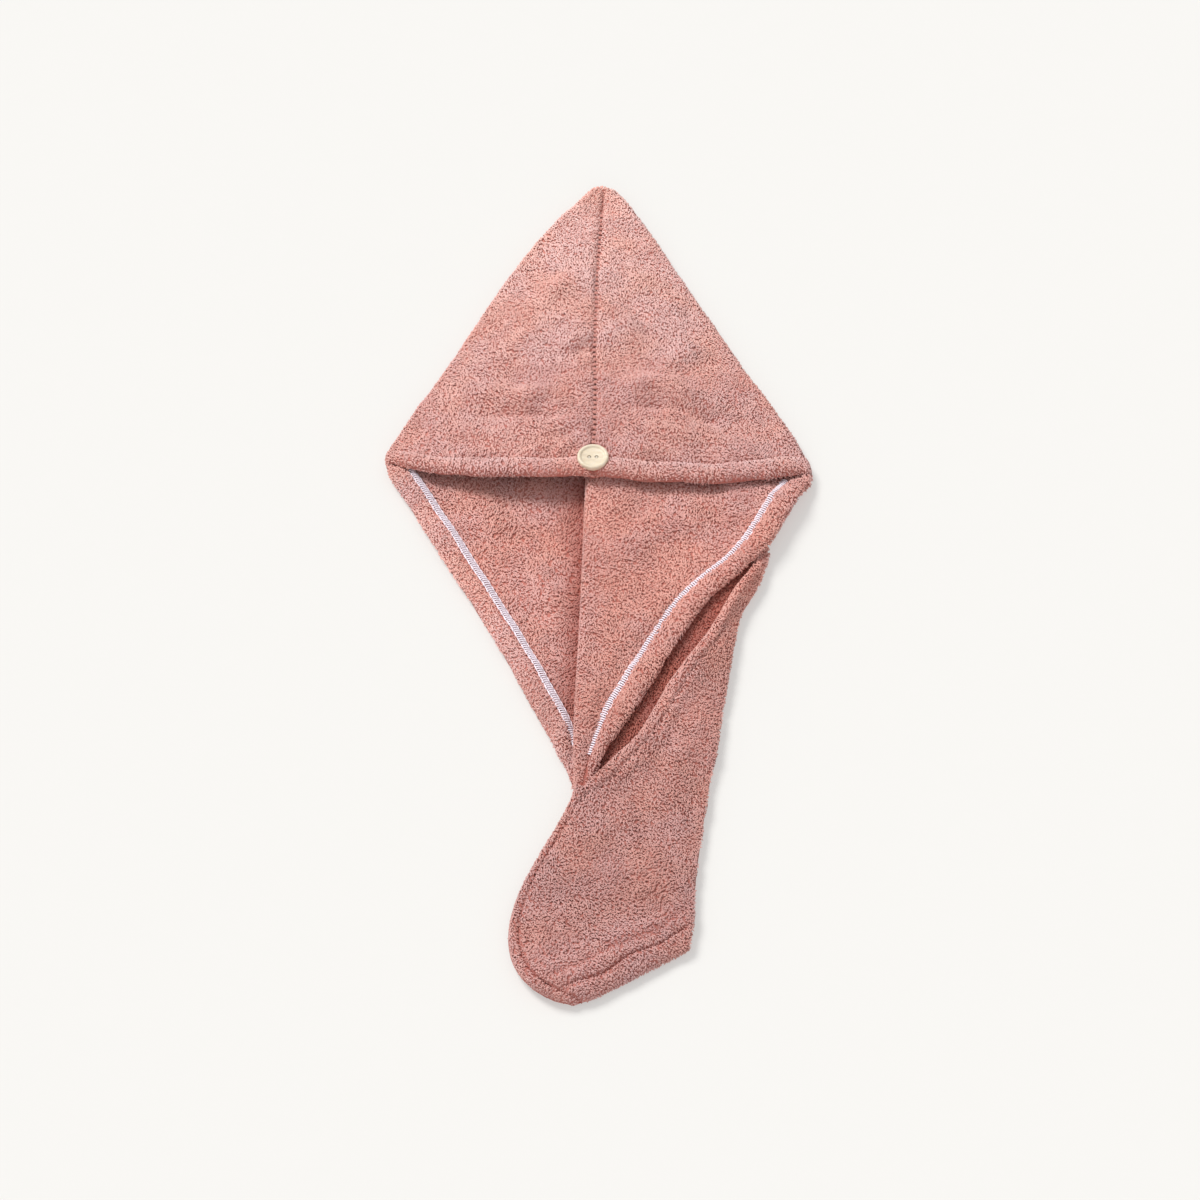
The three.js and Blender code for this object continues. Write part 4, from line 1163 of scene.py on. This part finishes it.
def horn(name):
    """Pale moulded button, faintly mottled and satin."""
    look = Look(name)
    cloud, fine = look.noise(170.0, 4.0, 0.6, (1, 2.5, 1), 0.5), look.noise(1300.0)
    base = look.mix(cloud, (0.64, 0.54, 0.4), (0.74, 0.65, 0.51), 0.35, 0.62)
    look.base(look.mix(fine, base, look.mix(0.25, base, (0.6, 0.5, 0.3)), 0.55, 0.8))
    look.links.new(look.ranged(fine, 0.0, 1.0, 0.32, 0.5), look.shader.inputs["Roughness"])
    look.set(Subsurface_Weight=0.15, Subsurface_Radius=(0.002, 0.0016, 0.001))
    look.bump(fine, 0.0001, 0.3)
    return look.material


FLEECE = fleece("coral_fleece")
WHITE_THREAD = thread("overlock_thread", (0.97, 0.9, 0.98), (0.78, 0.67, 0.78))
PINK_THREAD = thread("seam_thread", (0.86, 0.5, 0.46), (0.66, 0.33, 0.29))
DARK_THREAD = thread("nape_seam_thread", (0.58, 0.25, 0.21), (0.44, 0.16, 0.13))
SEW_THREAD = thread("button_thread_fibre", (0.72, 0.66, 0.55), (0.45, 0.4, 0.33))
BUTTON = horn("button_horn")


def dress(obj, mat):
    obj.data.materials.clear()
    obj.data.materials.append(mat)
    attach(obj, "root")


for obj in (left_nape, right_nape, left_front, right_front, *piles):
    dress(obj, FLEECE)
for obj in (left_overlock, right_overlock):
    dress(obj, WHITE_THREAD)
for obj in (left_stitches, right_stitches):
    dress(obj, PINK_THREAD)
dress(nape_stitches, DARK_THREAD)
dress(button, BUTTON)
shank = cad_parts["button_thread"]
shank.data.materials.clear()
shank.data.materials.append(SEW_THREAD)

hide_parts("left_nape")
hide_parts("right_nape")
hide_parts("left_front")
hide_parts("right_front")
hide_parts("button")

# Floor, light and camera
FLOOR_COLOUR, FLOOR_GLOW = (0.400, 0.396, 0.384), (0.419, 0.415, 0.409)
FLOOR_AT = -0.0004  # just below the cloth that lies on it
WORLD_LIGHT = 0.55
mesh = bpy.data.meshes.new("floor")
mesh.from_pydata([(-6, -6, 0), (6, -6, 0), (6, 6, 0), (-6, 6, 0)], [], [(0, 1, 2, 3)])
floor = bpy.data.objects.new("floor", mesh)
bpy.context.collection.objects.link(floor)
floor.location.z = FLOOR_AT


def paper(name):
    look = Look(name)
    look.base(look.mix(look.noise(60.0, 2.0), FLOOR_COLOUR, tuple(0.99 * v for v in FLOOR_COLOUR)))
    look.set(Emission_Color=(*FLOOR_GLOW, 1), Emission_Strength=1.0, Roughness=1.0, Specular_IOR_Level=0.0)
    return look.material


floor.data.materials.append(paper("floor_paper"))

world = bpy.data.worlds.new("studio")
bpy.context.scene.world = world
world.use_nodes = True
world.node_tree.nodes["Background"].inputs["Color"].default_value = (1, 1, 1, 1)
world.node_tree.nodes["Background"].inputs["Strength"].default_value = WORLD_LIGHT


def sun(name, azimuth, elevation, strength, size, colour):
    """Broad distant light: azimuth from +X towards +Y, in degrees."""
    light = bpy.data.lights.new(name, "SUN")
    light.energy, light.angle, light.color = strength, math.radians(size), colour
    obj = bpy.data.objects.new(name, light)
    a, e = math.radians(azimuth), math.radians(elevation)
    toward = Vector((math.cos(e) * math.cos(a), math.cos(e) * math.sin(a), math.sin(e)))
    obj.rotation_euler = toward.to_track_quat("Z", "Y").to_euler()
    bpy.context.collection.objects.link(obj)


sun("key", 136, 50, 2.83, 26, (1.0, 0.99, 0.97))
sun("fill", 268, 30, 0.62, 50, (1.0, 0.93, 0.9))

VIEW_ELEVATION, DISTANCE = math.radians(52), 2.4
SENSOR, FRAME = 36, 1200  # millimetres and pixels across the picture
PIXEL, AIM_ALONG = 0.56206, -74.005  # millimetres across a pixel, and where the view is centred
target = Vector(((SHIFT + [0, AIM_ALONG, 0]) * MM).tolist())
look = Vector((0, math.cos(VIEW_ELEVATION), -math.sin(VIEW_ELEVATION)))
camera = bpy.data.objects.new("camera", bpy.data.cameras.new("camera"))
bpy.context.collection.objects.link(camera)
camera.location = target - look * DISTANCE
camera.rotation_euler = (math.pi / 2 - VIEW_ELEVATION, 0, 0)
camera.data.sensor_width = SENSOR
camera.data.lens = SENSOR * DISTANCE / (FRAME * PIXEL * MM)
camera.data.clip_end = 20
bpy.context.scene.camera = camera
bpy.context.scene.view_settings.view_transform = "Standard"
